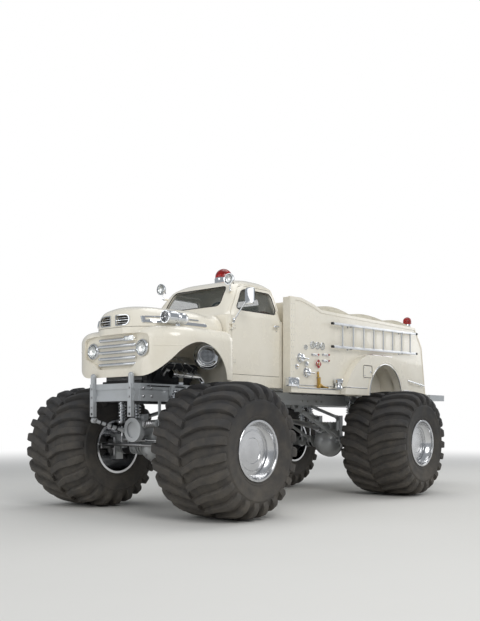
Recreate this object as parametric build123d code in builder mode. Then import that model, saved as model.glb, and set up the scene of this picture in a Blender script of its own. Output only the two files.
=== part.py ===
"""Monster truck with a vintage fire engine body.

Millimetres, +X forward, +Y to the driver's left, +Z up. The origin is on the ground, at the middle
of the truck's length and width.
"""

import os
from math import cos, radians, sin, tan

from build123d import *

os.makedirs("parts", exist_ok=True)

# Overall sizes
overall_length = 7370
tyre_radius = 838
tyre_width = 1135
wheel_base = 4160
track = 2507

# Clearances
seat = 0.4  # between pieces that are bolted together
panel_gap = 6  # around doors and under the hood
hood_rear_gap = 10
pin_play = 0.05  # between a pin and its bore

front_axle_x = overall_length / 2 - tyre_radius
rear_axle_x = front_axle_x - wheel_base
tail_x = -overall_length / 2
axle_z = tyre_radius
tyre_y = track / 2

# Frame rails, each two tubes with a sunk web between them
rail_lift = 602  # from the axle line up to the rails
rail_height = 220
rail_width = 75
rail_y = 395  # middle of a rail
rail_web_sink = 14
rail_front_x = front_axle_x + 650
rail_rear_x = rear_axle_x - 1600
rail_z = axle_z + rail_lift
rail_top_z = rail_z + rail_height
rail_outer_y = rail_y + rail_width / 2
rail_inner_y = rail_y - rail_width / 2

# Steering
kingpin_y = 800
kingpin_radius = 25
steer_arm = 240  # kingpin to tie rod
steer_lock = 22

# Wheels
rim_radius = 352
rim_wall = 12
dish_radius = 300
dish_depth = 90  # of the plain disc below the tyre's outer face
disc_y = 420  # middle of the wheel to the disc's outer side
disc_thick = 16
spindle_radius = 60
hub_radius = 150
lug_count = 23
lug_height = 52

# Sheet metal and cab
sheet = 12
cab_wall = 40
body_z = rail_top_z + seat  # underside of floors
cab_half_width = 800
cab_front_x = front_axle_x - 570
cab_rear_x = front_axle_x - 1800
belt_z = body_z + 945
roof_z = body_z + 1590

# Nose and front fenders
nose_x = front_axle_x + 690
fender_half_width = 970
fender_low_z = rail_top_z + 60
fender_top_z = rail_top_z + 700
nose_corner_radius = 480
fender_rear_radius = 165
crown_radius = 150

# Hood and cowl
hood_rear_x = cab_front_x + hood_rear_gap
hood_low_z = fender_top_z + panel_gap
hood_rear_z = rail_top_z + 1010
hood_rear_half = 705
hood_shoulder = 250
crown_slope = 13  # degrees, where the crown meets the shoulder

# Rear body
bed_front_x = front_axle_x - 1845
bed_wing_x = front_axle_x - 1725  # the side walls reach forward beside the cab
bed_rear_x = rear_axle_x - 1710
bed_half_width = 950
bed_wall = 30
bed_top_z = rail_top_z + 1190
bed_low_z = rail_top_z - 60
ledge = 30  # how far the bottom sill stands out
ledge_height = 80


def slab(x, y, z, mode=Mode.ADD):
    """A block between two limits on each axis."""
    middle = ((x[0] + x[1]) / 2, (y[0] + y[1]) / 2, (z[0] + z[1]) / 2)
    with Locations(middle):
        Box(x[1] - x[0], y[1] - y[0], z[1] - z[0], mode=mode)


def bar(start, end, radius, mode=Mode.ADD):
    """A round bar from one point to another."""
    run = Vector(*end) - Vector(*start)
    with BuildSketch(Plane(origin=start, z_dir=run)) as section:
        Circle(radius)
    extrude(section.sketch, amount=run.length, mode=mode)


def disc(centre, axis, radius, length, mode=Mode.ADD):
    """A round disc whose middle is at a point, with its axis along X, Y or Z."""
    turn = {"X": (0, 90, 0), "Y": (90, 0, 0), "Z": (0, 0, 0)}[axis]
    with Locations(Location(centre, turn)):
        Cylinder(radius, length, mode=mode)


# Frame: two rails, their cross tubes, and brackets for links and shocks
link_y = 300
link_drop = 60  # link eyes below the rails
upper_link_y = 210
upper_link_rise = 15  # upper link eyes above the rails' underside
link_eye_radius = 38
link_eye_width = 56
bracket = 12
shock_y = 500
shock_spread = 130  # from the axle, fore and aft
shock_top_z = rail_z + 120
cross_x = (
    rail_front_x - 120,
    front_axle_x - 950,
    front_axle_x - 1330,
    rear_axle_x + 1330,
    rear_axle_x + 950,
    rear_axle_x - 700,
    rail_rear_x + 60,
)
# For each axle: which way its links lead along the truck
axles = ((front_axle_x, -1), (rear_axle_x, 1))

with BuildPart() as frame_rails:
    band = rail_height / 3
    for side in (-1, 1):
        y = side * rail_y
        rail_span = (y - rail_width / 2, y + rail_width / 2)
        slab((rail_rear_x, rail_front_x), rail_span, (rail_z, rail_top_z))
        outer = side * rail_outer_y
        web = sorted((outer, outer - side * rail_web_sink))
        slab((rail_rear_x, rail_front_x), web, (rail_z + band, rail_top_z - band), Mode.SUBTRACT)
    for x in cross_x:
        disc((x, 0, rail_z + rail_height / 2), "Y", 48, 2 * rail_y)
    for axle_x, lead in axles:
        for side in (-1, 1):
            # lower link bracket under a cross tube, and the upper one behind it
            x = axle_x + lead * 1330
            for cheek in (-1, 1):
                y = side * link_y + cheek * (link_eye_width / 2 + seat + bracket / 2)
                cheek_span = (y - bracket / 2, y + bracket / 2)
                slab((x - 45, x + 45), cheek_span, (rail_z - link_drop - 45, rail_z + 90))
                x_up = axle_x + lead * 950
                y = side * upper_link_y + cheek * (link_eye_width / 2 + seat + bracket / 2)
                cheek_span = (y - bracket / 2, y + bracket / 2)
                slab((x_up - 45, x_up + 45), cheek_span, (rail_z - 30, rail_z + 90))
            # shock ears on the rail's outer side
            for reach in (-1, 1):
                ear = sorted((side * (rail_outer_y - 2), side * (shock_y - 24 - seat)))
                x = axle_x + reach * shock_spread
                slab((x - 26, x + 26), ear, (shock_top_z - 40, rail_top_z - 20))
frame_rails.part.label = "frame_rails"
export_step(frame_rails.part, "parts/frame_rails.step")

# Front crossbar with its two hanging posts and the round-topped guards
crossbar_depth = 80
crossbar_half = 410
post_y = 357
post_width = 65
guard_radius = 36
crossbar_x = rail_front_x + seat
post_thick = 40
guard_x = front_axle_x + 737
guard_rise = 100

with BuildPart() as front_crossbar:
    slab((crossbar_x, crossbar_x + crossbar_depth), (-crossbar_half, crossbar_half), (rail_z, rail_top_z))
    web = (crossbar_x + crossbar_depth - rail_web_sink, crossbar_x + crossbar_depth)
    slab(web, (-crossbar_half, crossbar_half), (rail_z + band, rail_top_z - band), Mode.SUBTRACT)
    for side in (-1, 1):
        y = side * post_y
        face_x = crossbar_x + crossbar_depth
        post_span = (y - post_width / 2, y + post_width / 2)
        slab((face_x - rail_web_sink, face_x + post_thick), post_span, (rail_z - 195, rail_top_z))
        disc((face_x + post_thick / 2, y, rail_z - 160), "X", 18, 4 * post_thick, Mode.SUBTRACT)
        bar((guard_x, y, rail_top_z - 60), (guard_x, y, rail_top_z + guard_rise), guard_radius)
        with Locations((guard_x, y, rail_top_z + guard_rise)):
            Sphere(guard_radius)
front_crossbar.part.label = "front_crossbar"
export_step(front_crossbar.part, "parts/front_crossbar.step")

# Axles: tube, bowl, top carrier with its pinion housing, link and shock brackets
tube_radius = 75
carrier_radius = 150
pinion_lift = 240
pinion_radius = 92
pinion_reach = 300
upper_eye_lift = 400
lower_eye = (150, 45)  # behind and above the axle line
yoke_inner_y = 700
yoke_lug_z = (130, 172)
shock_foot_z = 40


def axle_housing(axle_x, lead, half_length, bowl_radius):
    """Tube, bowl, carrier, link cheeks and shock perches, with the pinion to the truck's middle."""
    disc((axle_x, 0, axle_z), "Y", tube_radius, 2 * half_length)
    with Locations((axle_x, 0, axle_z)):
        Sphere(bowl_radius)
    bar((axle_x, 0, axle_z), (axle_x, 0, axle_z + 330), carrier_radius)
    pinion_z = axle_z + pinion_lift
    bar((axle_x, 0, pinion_z), (axle_x + lead * pinion_reach, 0, pinion_z), pinion_radius)
    for side in (-1, 1):
        for y in (380, 590):
            disc((axle_x, side * y, axle_z), "Y", tube_radius + 22, 26)
        for cheek in (-1, 1):
            offset = cheek * (link_eye_width / 2 + seat + bracket / 2)
            y = side * link_y + offset
            back = sorted((axle_x, axle_x + lead * (lower_eye[0] + 40)))
            slab(back, (y - bracket / 2, y + bracket / 2), (axle_z - 20, axle_z + lower_eye[1] + 45))
            y = side * upper_link_y + offset
            span = (y - bracket / 2, y + bracket / 2)
            slab((axle_x - 45, axle_x + 45), span, (axle_z, axle_z + upper_eye_lift + 45))
        # a perch across the tube carries both shocks
        ear = sorted((side * (shock_y - 60), side * (shock_y - 24 - seat)))
        slab((axle_x - shock_spread - 26, axle_x + shock_spread + 26), ear, (axle_z - 10, axle_z + 74))


with BuildPart() as front_axle:
    axle_housing(front_axle_x, -1, yoke_inner_y + 20, 180)
    ring_x = front_axle_x + 340
    pinion_z = axle_z + pinion_lift
    bar((front_axle_x, 0, pinion_z), (ring_x, 0, pinion_z), pinion_radius)
    bar((ring_x - 20, 0, pinion_z), (ring_x + 60, 0, pinion_z), 157)
    bar((ring_x + 38, 0, pinion_z), (ring_x + 61, 0, pinion_z), 105, Mode.SUBTRACT)
    for side in (-1, 1):
        for y in (-1, 0, 1):
            disc((front_axle_x, side * 230 + y * 50, axle_z), "Y", tube_radius + 25, 24)
        plate = sorted((side * yoke_inner_y, side * (yoke_inner_y + 30)))
        slab((front_axle_x - 62, front_axle_x + 62), plate, (axle_z - yoke_lug_z[1], axle_z + yoke_lug_z[1]))
        for half in (-1, 1):
            lug_z = sorted((axle_z + half * yoke_lug_z[0], axle_z + half * yoke_lug_z[1]))
            lug_y = sorted((side * yoke_inner_y, side * kingpin_y))
            slab((front_axle_x - 62, front_axle_x + 62), lug_y, lug_z)
            bar((front_axle_x, side * kingpin_y, lug_z[0]), (front_axle_x, side * kingpin_y, lug_z[1]), 62)
        low = (front_axle_x, side * kingpin_y, axle_z - 200)
        high = (front_axle_x, side * kingpin_y, axle_z + 200)
        bar(low, high, kingpin_radius + pin_play, Mode.SUBTRACT)
    # two clamps hold the steering cylinder above the tie rod
    ram_x = front_axle_x + steer_arm
    ram_z = axle_z + 108
    ram_radius = 28
    for y in (-335, -205):
        slab((front_axle_x, ram_x + 45), (y - 10, y + 10), (axle_z + 70, ram_z + 45))
        disc((ram_x, y, ram_z), "Y", ram_radius + seat, 30, Mode.SUBTRACT)
front_axle.part.label = "front_axle"
export_step(front_axle.part, "parts/front_axle.step")

with BuildPart() as rear_axle:
    axle_housing(rear_axle_x, 1, tyre_y - 130, 262)
    for side in (-1, 1):
        for y in (240, 300, 440):
            disc((rear_axle_x, side * y, axle_z), "Y", tube_radius + 25, 24)
        start = (rear_axle_x, side * (tyre_y - 130), axle_z)
        end = (rear_axle_x, side * (tyre_y + disc_y - disc_thick - 12), axle_z)
        bar(start, end, spindle_radius)
rear_axle.part.label = "rear_axle"
export_step(rear_axle.part, "parts/rear_axle.step")

# Link bars: four to an axle
with BuildPart() as link_bars:
    for axle_x, lead in axles:
        for side in (-1, 1):
            low_y = side * link_y
            high_y = side * upper_link_y
            bars = (
                (lower_eye[0], lower_eye[1], 1330, rail_lift - link_drop, low_y),
                (0, upper_eye_lift, 950, rail_lift + upper_link_rise, high_y),
            )
            for back, lift, far, far_lift, y in bars:
                start = (axle_x + lead * back, y, axle_z + lift)
                end = (axle_x + lead * far, y, axle_z + far_lift)
                bar(start, end, 26)
                for eye in (start, end):
                    disc(eye, "Y", link_eye_radius, link_eye_width)
link_bars.part.label = "link_bars"
export_step(link_bars.part, "parts/link_bars.step")

# Shocks: a pair at each wheel, on ears outside the rails
with BuildPart() as shocks:
    for axle_x, _ in axles:
        for side in (-1, 1):
            for reach in (-1, 1):
                x = axle_x + reach * shock_spread
                foot = (x, side * shock_y, axle_z + shock_foot_z)
                head = (x, side * shock_y, shock_top_z)
                bar(foot, head, 15)
                bar((x, side * shock_y, axle_z + 330), (x, side * shock_y, shock_top_z - 50), 38)
                for eye in (foot, head):
                    disc(eye, "Y", 28, 48)
shocks.part.label = "shocks"
export_step(shocks.part, "parts/shocks.step")

# Engine, one plain block with its sump and heads, on mounts between the rails
engine_x = (front_axle_x - 430, front_axle_x + 330)
with BuildPart() as engine:
    slab(engine_x, (-230, 230), (rail_z - 20, rail_z + 430))
    for side in (-1, 1):
        with BuildSketch(Plane.YZ.offset(engine_x[0])):
            with Locations(Location((side * 225, rail_z + 430), side * -40)):
                Rectangle(230, 250)
        extrude(amount=engine_x[1] - engine_x[0] - 60)
        mount = sorted((side * 200, side * (rail_inner_y - seat)))
        slab((front_axle_x - 60, front_axle_x + 60), mount, (rail_z + 40, rail_z + 150))
engine.part.label = "engine"
export_step(engine.part, "parts/engine.step")

# Transfer case between the rails, with a shaft to each axle
transfer_x = front_axle_x - 1740
gearbox_rear_x = front_axle_x - 880
with BuildPart() as transfer_case:
    disc((transfer_x, 0, rail_z + 100), "X", 115, 300)
    disc((transfer_x, 0, rail_z - 80), "X", 120, 260)
    mount_half = rail_inner_y - seat
    slab((transfer_x - 100, transfer_x + 100), (-mount_half, mount_half), (rail_z + 60, rail_z + 150))
    slab((gearbox_rear_x, engine_x[0] - seat), (-110, 110), (rail_z - 15, rail_z + 200))
    bar((transfer_x + 130, 0, rail_z + 20), (gearbox_rear_x + 10, 0, rail_z + 20), 34)
transfer_case.part.label = "transfer_case"
export_step(transfer_case.part, "parts/transfer_case.step")

shaft_radius = 42
with BuildPart() as drive_shafts:
    for axle_x, lead in axles:
        start = (transfer_x - lead * (130 + 35 + seat), 0, rail_z - 80)
        end = (axle_x + lead * (pinion_reach + 35 + seat), 0, axle_z + pinion_lift)
        bar(start, end, shaft_radius)
        for joint in (start, end):
            disc(joint, "X", 62, 70)
drive_shafts.part.label = "drive_shafts"
export_step(drive_shafts.part, "parts/drive_shafts.step")

# Knuckles with kingpin, spindle and steering arm
spindle_end_y = tyre_y + disc_y - disc_thick - 12
knuckle_half = 125


def knuckle(side):
    """The steering knuckle of one side."""
    y = side * kingpin_y
    disc((front_axle_x, y, axle_z), "Z", 48, 2 * knuckle_half)
    disc((front_axle_x, y, axle_z), "Z", kingpin_radius, 2 * yoke_lug_z[1])
    disc((front_axle_x, y + side * 47, axle_z), "Y", 118, 30)
    bar((front_axle_x, y, axle_z), (front_axle_x, side * spindle_end_y, axle_z), spindle_radius)
    slab((front_axle_x, front_axle_x + steer_arm), (y - 28, y + 28), (axle_z - 20, axle_z + 16))
    disc((front_axle_x + steer_arm, y, axle_z - 2), "Z", 34, 36)
    disc((front_axle_x + steer_arm, y, axle_z + 34), "Z", 12, 60)


with BuildPart() as knuckle_left:
    knuckle(1)
knuckle_left.part.label = "knuckle_left"
export_step(knuckle_left.part, "parts/knuckle_left.step")

with BuildPart() as knuckle_right:
    knuckle(-1)
knuckle_right.part.label = "knuckle_right"
export_step(knuckle_right.part, "parts/knuckle_right.step")

# Tie rod, with the ears that the steering cylinder's rod pulls on
tie_x = front_axle_x + steer_arm
tie_z = axle_z + 40
ram_pin_y = 430
with BuildPart() as tie_rod:
    bar((tie_x, -kingpin_y, tie_z), (tie_x, kingpin_y, tie_z), 22)
    for side in (-1, 1):
        disc((tie_x, side * kingpin_y, tie_z), "Z", 34, 30)
    slab((tie_x - 20, tie_x + 20), (ram_pin_y - 30, ram_pin_y + 30), (tie_z, tie_z + 34))
    bar((tie_x, ram_pin_y, tie_z), (tie_x, ram_pin_y, ram_z + 22), 10)
    for side in (-1, 1):
        disc((tie_x, side * kingpin_y, tie_z), "Z", 12 + pin_play, 60, Mode.SUBTRACT)
tie_rod.part.label = "tie_rod"
export_step(tie_rod.part, "parts/tie_rod.step")

# Steering cylinder and its rod
ram_start_y = -360
ram_end_y = 100
rod_radius = 13
with BuildPart() as steering_cylinder:
    bar((ram_x, ram_start_y, ram_z), (ram_x, ram_end_y, ram_z), ram_radius)
    bar((ram_x, ram_start_y + 40, ram_z), (ram_x, ram_end_y + 1, ram_z), rod_radius + pin_play, Mode.SUBTRACT)
steering_cylinder.part.label = "steering_cylinder"
export_step(steering_cylinder.part, "parts/steering_cylinder.step")

steer_drift = steer_arm * (1 - cos(radians(steer_lock)))
with BuildPart() as steering_rod:
    bar((ram_x, -150, ram_z), (ram_x, ram_pin_y - 20, ram_z), rod_radius)
    slab((ram_x - steer_drift - 36, ram_x + 30), (ram_pin_y - 32, ram_pin_y + 32), (ram_z - 11, ram_z + 11))
    slot_x = (ram_x - steer_drift - 16, ram_x + 14)
    slab(slot_x, (ram_pin_y - 14, ram_pin_y + 14), (ram_z - 12, ram_z + 12), Mode.SUBTRACT)
steering_rod.part.label = "steering_rod"
export_step(steering_rod.part, "parts/steering_rod.step")

# Tyre: a revolved carcass with two staggered rows of slanted lugs that run over the shoulders.
# Each pair is the distance from the tyre's middle, then the radius.
tread_radius = tyre_radius - lug_height
half_tyre = tyre_width / 2
carcass = (
    (0, tread_radius),
    (0.62 * half_tyre, tread_radius - 14),
    (0.86 * half_tyre, tread_radius - 66),
    (0.985 * half_tyre, tread_radius - 190),
    (0.985 * half_tyre, tread_radius - 290),
    (0.90 * half_tyre, rim_radius + 14),
    (0.90 * half_tyre, rim_radius + seat),
)
# One lug seen from outside, from the middle line to the shoulder: distance out, and along the tread
lug_plan = ((12, -66), (250, 44), (570, 110), (570, 214), (230, 148), (12, 38))


def tread_ring():
    """The outer half of the tread's height, from which each lug is cut."""
    with BuildPart() as ring:
        with BuildSketch(Plane.XY):
            Polygon(
                (tread_radius - 30, 0),
                (tyre_radius, 0),
                (tyre_radius - 14, 0.66 * half_tyre),
                (tyre_radius - 58, 0.90 * half_tyre),
                (tread_radius - 118, half_tyre),
                (tread_radius - 150, 0.93 * half_tyre),
                (tread_radius - 90, 0.82 * half_tyre),
                align=None,
            )
        revolve(axis=Axis.Y)
    return ring.part


def lug_form(ring):
    """One lug, at the front of the tyre."""
    with BuildPart() as lug:
        with BuildSketch(Plane.YZ.offset(tread_radius - 200)):
            Polygon(*lug_plan, align=None)
        extrude(amount=lug_height + 260)
        add(ring, mode=Mode.INTERSECT)
    return lug.part


def tyre_form():
    """The tyre about the Y axis at the origin, its chevrons pointing down at the front."""
    outer_lug = lug_form(tread_ring())
    inner_lug = outer_lug.mirror(Plane.XZ)
    pitch = 360 / lug_count
    with BuildPart() as form:
        with BuildSketch(Plane.XY):
            points = [(radius, out) for out, radius in carcass]
            Polygon(*points, *[(radius, -out) for radius, out in reversed(points)], align=None)
        revolve(axis=Axis.Y)
        for turn in range(lug_count):
            add(outer_lug, rotation=(0, turn * pitch, 0))
            add(inner_lug, rotation=(0, (turn + 0.5) * pitch, 0))
    return form.part


def wheel_form():
    """Rim, dished plain disc and hub about the Y axis at the origin, outer side to +Y."""
    bore = spindle_radius + pin_play
    inner = rim_radius - rim_wall
    bead = 0.90 * half_tyre + 4
    lip = bead + 14
    with BuildPart() as form:
        with BuildSketch(Plane.XY):
            Polygon(
                (0, disc_y),
                (dish_radius, disc_y),
                (inner + 4, disc_y + dish_depth),
                (inner + 4, lip),
                (rim_radius + 20, lip),
                (rim_radius + 20, bead),
                (rim_radius, bead),
                (rim_radius, -bead),
                (rim_radius + 20, -bead),
                (rim_radius + 20, -lip),
                (inner, -lip),
                (inner, disc_y + dish_depth - 28),
                (dish_radius - 8, disc_y - disc_thick),
                (hub_radius, disc_y - disc_thick),
                (hub_radius, -120),
                (bore, -120),
                (bore, disc_y - disc_thick - 6),
                (0, disc_y - disc_thick - 6),
                align=None,
            )
        revolve(axis=Axis.Y)
    return form.part


corners = (
    ("front_left", front_axle_x, 1),
    ("front_right", front_axle_x, -1),
    ("rear_left", rear_axle_x, 1),
    ("rear_right", rear_axle_x, -1),
)
left_tyre = tyre_form()
left_wheel = wheel_form()
side_forms = {1: (left_tyre, left_wheel), -1: (left_tyre.mirror(Plane.XZ), left_wheel.mirror(Plane.XZ))}
for corner, x, side in corners:
    for kind, form in zip(("tyre", "wheel"), side_forms[side]):
        with BuildPart() as piece:
            with Locations((x, side * tyre_y, axle_z)):
                add(form)
        piece.part.label = f"{kind}_{corner}"
        export_step(piece.part, f"parts/{kind}_{corner}.step")

# Nose and front fenders: one wide crowned form, hollow, with its wheel arches
clip_rear_x = cab_front_x + seat
arch_top_x = front_axle_x + 130
arch_top_z = rail_top_z + 510
arch_rear_x = front_axle_x - 360
arch_front_x = front_axle_x + 710
arch_rear_z = rail_top_z + 60
arch_knee_x = front_axle_x + 475
arch_knee_z = rail_top_z + 350


def clip_form(inset):
    """The outside of the nose and fenders, or their hollow when drawn in by an inset."""
    low = fender_low_z if inset == 0 else fender_low_z - 100
    rear = clip_rear_x + inset
    front = nose_x - inset
    half = fender_half_width - inset
    top = fender_top_z - inset
    with BuildPart() as form:
        with BuildSketch(Plane.XY.offset(low)) as plan:
            with Locations(((rear + front) / 2, 0)):
                Rectangle(front - rear, 2 * half)
            fillet(plan.vertices().group_by(Axis.X)[-1], radius=nose_corner_radius - inset)
            fillet(plan.vertices().group_by(Axis.X)[0], radius=fender_rear_radius - inset)
        extrude(amount=top - low)
        crown = [
            edge
            for edge in form.faces().sort_by(Axis.Z)[-1].edges()
            if abs(edge.center().Y) > 1 or edge.center().X > front - 1
        ]
        fillet(crown, radius=crown_radius - inset)
    return form.part


# The hood's form: crowned, with a section that shrinks into a rounded nose.
# Each section: forward of the front axle, half-width, top above the rails, shoulder radius
hood_sections = (
    (-560, 705, 1010, hood_shoulder),
    (-230, 682, 1010, hood_shoulder),
    (100, 652, 1006, hood_shoulder),
    (360, 602, 1000, 245),
    (520, 510, 984, 230),
    (630, 385, 948, 200),
    (690, 262, 900, 160),
    (712, 170, 850, 120),
)
chin_depth = 140  # how far the form goes on below the fenders' top, as the chin under the nose


def hood_section(x, half, top, low, shoulder):
    """A section across the hood: straight sides, round shoulders and a shallow crown."""
    lean = radians(crown_slope)
    crown_y = half - shoulder * (1 - sin(lean))
    crown_z = top - crown_y * tan(lean / 2)
    side_z = crown_z - shoulder * cos(lean)
    with BuildSketch(Plane.YZ.offset(x)) as section:
        with BuildLine():
            Line((-half, low), (-half, side_z))
            TangentArc((-half, side_z), (-crown_y, crown_z), tangent=(0, 1))
            ThreePointArc((-crown_y, crown_z), (0, top), (crown_y, crown_z))
            TangentArc((half, side_z), (crown_y, crown_z), tangent=(0, 1))
            Polyline((half, side_z), (half, low), (-half, low))
        make_face()
    return section.sketch


def hood_form(inset):
    """The outside of the hood, or its hollow when drawn in by an inset."""
    low = fender_top_z - chin_depth - inset
    with BuildPart() as form:
        for number, (ahead, half, top, shoulder) in enumerate(hood_sections):
            x = front_axle_x + ahead - (inset if number else 0)
            add(hood_section(x, half - inset, rail_top_z + top - inset, low, shoulder - inset))
        loft()
    return form.part


clip_skin = clip_form(0)
clip_hollow = clip_form(sheet)
bay_half = 560
bay_front_x = nose_x - 190
# The opening round grille and lamps: (half-width, height above the rails) from the bottom up
mouth = ((310, 185), (405, 262), (612, 345), (612, 590), (430, 620))
mouth_corner = 70


def mouth_face(grow):
    """The mouth's outline on a plane across the truck, grown by an amount."""
    right = [(half, rail_top_z + height) for half, height in mouth]
    with BuildSketch(Plane.YZ) as face:
        Polygon(*right, *[(-half, height) for half, height in reversed(right)], align=None)
        fillet(face.vertices(), radius=mouth_corner)
        if grow:
            offset(amount=grow)
    return face.sketch


lamp_y = 465
lamp_z = rail_top_z + 433

with BuildPart() as chin:
    add(hood_form(0))
    split(bisect_by=Plane.XY.offset(fender_top_z), keep=Keep.BOTTOM)
with BuildPart() as front_clip:
    add(clip_skin)
    add(chin.part)
    add(clip_hollow, mode=Mode.SUBTRACT)
    bay_span = (-bay_half, bay_half)
    slab((clip_rear_x - 1, bay_front_x), bay_span, (fender_low_z - 10, fender_top_z + 10), Mode.SUBTRACT)
    rear_half = cab_half_width - 60
    rear_wall = (clip_rear_x - 1, clip_rear_x + sheet + 1)
    slab(rear_wall, (-rear_half, rear_half), (fender_low_z - 10, hood_low_z), Mode.SUBTRACT)
    with BuildSketch(Plane.XZ):
        with BuildLine():
            top = (arch_top_x, arch_top_z)
            knee = (arch_knee_x, arch_knee_z)
            back = TangentArc(top, (arch_rear_x, arch_rear_z), tangent=(-1, 0))
            ahead = TangentArc(top, knee, tangent=(1, 0))
            sweep = TangentArc(knee, (arch_front_x, fender_low_z), tangent=ahead % 1)
            Polyline(back @ 1, (arch_rear_x, rail_top_z), (arch_front_x, rail_top_z), sweep @ 1)
        make_face()
    extrude(amount=fender_half_width + 10, both=True, mode=Mode.SUBTRACT)
    extrude(mouth_face(0).moved(Location((nose_x - 40, 0, 0))), amount=100, mode=Mode.SUBTRACT)
front_clip.part.label = "front_clip"
export_step(front_clip.part, "parts/front_clip.step")

# Grille: a sunk pan behind the mouth with five bars, and the marker lamp box on the top bar
pan_x = nose_x - 62
bar_count = 5
bar_z = (rail_top_z + 245, rail_top_z + 560)
bar_radius = 22
bar_half = (318, 329)  # of the top bar and of the others, to the middle of their round ends
with BuildPart() as grille:
    pan_depth = nose_x - sheet - seat - pan_x
    extrude(mouth_face(24).moved(Location((pan_x, 0, 0))), amount=pan_depth)
    add(clip_form(sheet + seat), mode=Mode.INTERSECT)
    extrude(mouth_face(0).moved(Location((pan_x + 8, 0, 0))), amount=80, mode=Mode.SUBTRACT)
    pitch = (bar_z[1] - bar_z[0]) / (bar_count - 1)
    for number in range(bar_count):
        z = bar_z[0] + number * pitch
        half = bar_half[0] if number == bar_count - 1 else bar_half[1]
        slab((pan_x + 6, pan_x + 26), (-half, half), (z - bar_radius / 2, z + bar_radius / 2))
        disc((pan_x + 26, 0, z), "Y", bar_radius, 2 * half)
        for side in (-1, 1):
            with Locations((pan_x + 26, side * half, z)):
                Sphere(bar_radius)
    slab((pan_x + 6, nose_x - 8), (170, 335), (bar_z[1] - 28, bar_z[1] + 28))
grille.part.label = "grille"
export_step(grille.part, "parts/grille.step")

with BuildPart() as headlamps:
    for side in (-1, 1):
        base_x = pan_x + 8 + seat
        with Locations(Location((base_x + 13, side * lamp_y, lamp_z), (0, 90, 0))):
            Cylinder(108, 26)
        with Locations(Location((base_x + 26, side * lamp_y, lamp_z), (0, 90, 0))):
            Cone(84, 60, 22, align=(Align.CENTER, Align.CENTER, Align.MIN))
headlamps.part.label = "headlamps"
export_step(headlamps.part, "parts/headlamps.step")

# Radiator support, standing on the rails behind the nose
with BuildPart() as radiator:
    slab((nose_x - 240, nose_x - 150), (-340, 340), (rail_top_z + seat, fender_top_z - sheet - crown_radius))
    for side in (-1, 1):
        foot = sorted((side * 300, side * (rail_y + 30)))
        slab((nose_x - 230, nose_x - 160), foot, (rail_top_z + seat, rail_top_z + 40))
radiator.part.label = "radiator"
export_step(radiator.part, "parts/radiator.step")

# Hood: the skin of that form above the fenders, hinged at the cowl
hinge_x = cab_front_x - 34
hinge_z = hood_rear_z - 16
hood_hinge_y = 170


# The pair of vents on the nose, each flat towards the middle and round outwards
vent_near = 58
vent_far = 262
vent_z = (rail_top_z + 735, rail_top_z + 848)
vent_round = 54
vent_frame = 13
vent_back_x = front_axle_x + 200  # the vents are cut from here forward
vent_cut = nose_x + 50 - front_axle_x


def vent_face(side, grow):
    """A vent's outline seen from the front, larger by an amount."""
    bottom, top = vent_z
    with BuildSketch(Plane.YZ) as face:
        with Locations((side * (vent_near + vent_far) / 2, (bottom + top) / 2)):
            Rectangle(vent_far - vent_near, top - bottom)
        outer = face.vertices().sort_by(Axis.X)[-2:] if side > 0 else face.vertices().sort_by(Axis.X)[:2]
        fillet(outer, radius=vent_round)
        if grow:
            offset(amount=grow)
    return face.sketch


hood_skin = hood_form(0)
hood_hollow = hood_form(sheet)
with BuildPart() as hood:
    add(hood_skin)
    add(hood_hollow, mode=Mode.SUBTRACT)
    split(bisect_by=Plane.XY.offset(hood_low_z), keep=Keep.TOP)
    for side in (-1, 1):
        arm = (side * hood_hinge_y - 20, side * hood_hinge_y + 20)
        slab((hinge_x, hood_rear_x + 90), arm, (hinge_z - 10, hinge_z + 6))
        disc((hinge_x, side * hood_hinge_y, hinge_z), "Y", 13, 40)
        disc((hinge_x, side * hood_hinge_y, hinge_z), "Y", 7 + pin_play, 42, Mode.SUBTRACT)
        opening = vent_face(side, 0).moved(Location((vent_back_x, 0, 0)))
        extrude(opening, amount=vent_cut, mode=Mode.SUBTRACT)
hood.part.label = "hood"
export_step(hood.part, "parts/hood.step")

# Cab: a hollow lower body and a tapered rounded roof, from which doors are cut
cab_base_radius = 45
cowl_height = 320
cowl_length = 200
# The upper cab's sections: height above the rails, rear and front (forward of the front axle),
# half-width, corner radius. Its foot stands a hair inside the lower body.
roof_sections = (
    (944, -1799.5, -590, 799.5, 120),
    (1100, -1799, -705, 765, 170),
    (1250, -1792, -795, 722, 180),
    (1400, -1772, -905, 662, 190),
    (1500, -1725, -1005, 590, 195),
    (1560, -1640, -1115, 500, 190),
    (1590.4, -1535, -1245, 340, 135),
)


def roof_form(inset):
    """The upper cab, narrowing and rounding into the roof."""
    foot = roof_sections[0][0]
    squeeze = 1 - inset / (roof_sections[-1][0] - foot)
    with BuildPart() as form:
        for height, rear, front, half, radius in roof_sections:
            z = rail_top_z + foot + (height - foot) * squeeze
            with BuildSketch(Plane.XY.offset(z)):
                with Locations((front_axle_x + (rear + front) / 2, 0)):
                    RectangleRounded(front - rear - 2 * inset, 2 * (half - inset), radius - inset)
        loft()
    return form.part


def cab_form(inset):
    """The outside of the cab, or its room when drawn in by an inset."""
    low = body_z + (0 if inset == 0 else 30)
    upper = roof_form(inset)
    with BuildPart() as form:
        with BuildSketch(Plane.XY.offset(low)) as base:
            with Locations(((cab_rear_x + cab_front_x) / 2, 0)):
                Rectangle(cab_front_x - cab_rear_x - 2 * inset, 2 * (cab_half_width - inset))
            fillet(base.vertices(), radius=cab_base_radius - inset)
        extrude(amount=belt_z - low)
        add(upper)
    return form.part


cab_skin = cab_form(0)
cab_room = cab_form(cab_wall)

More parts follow.
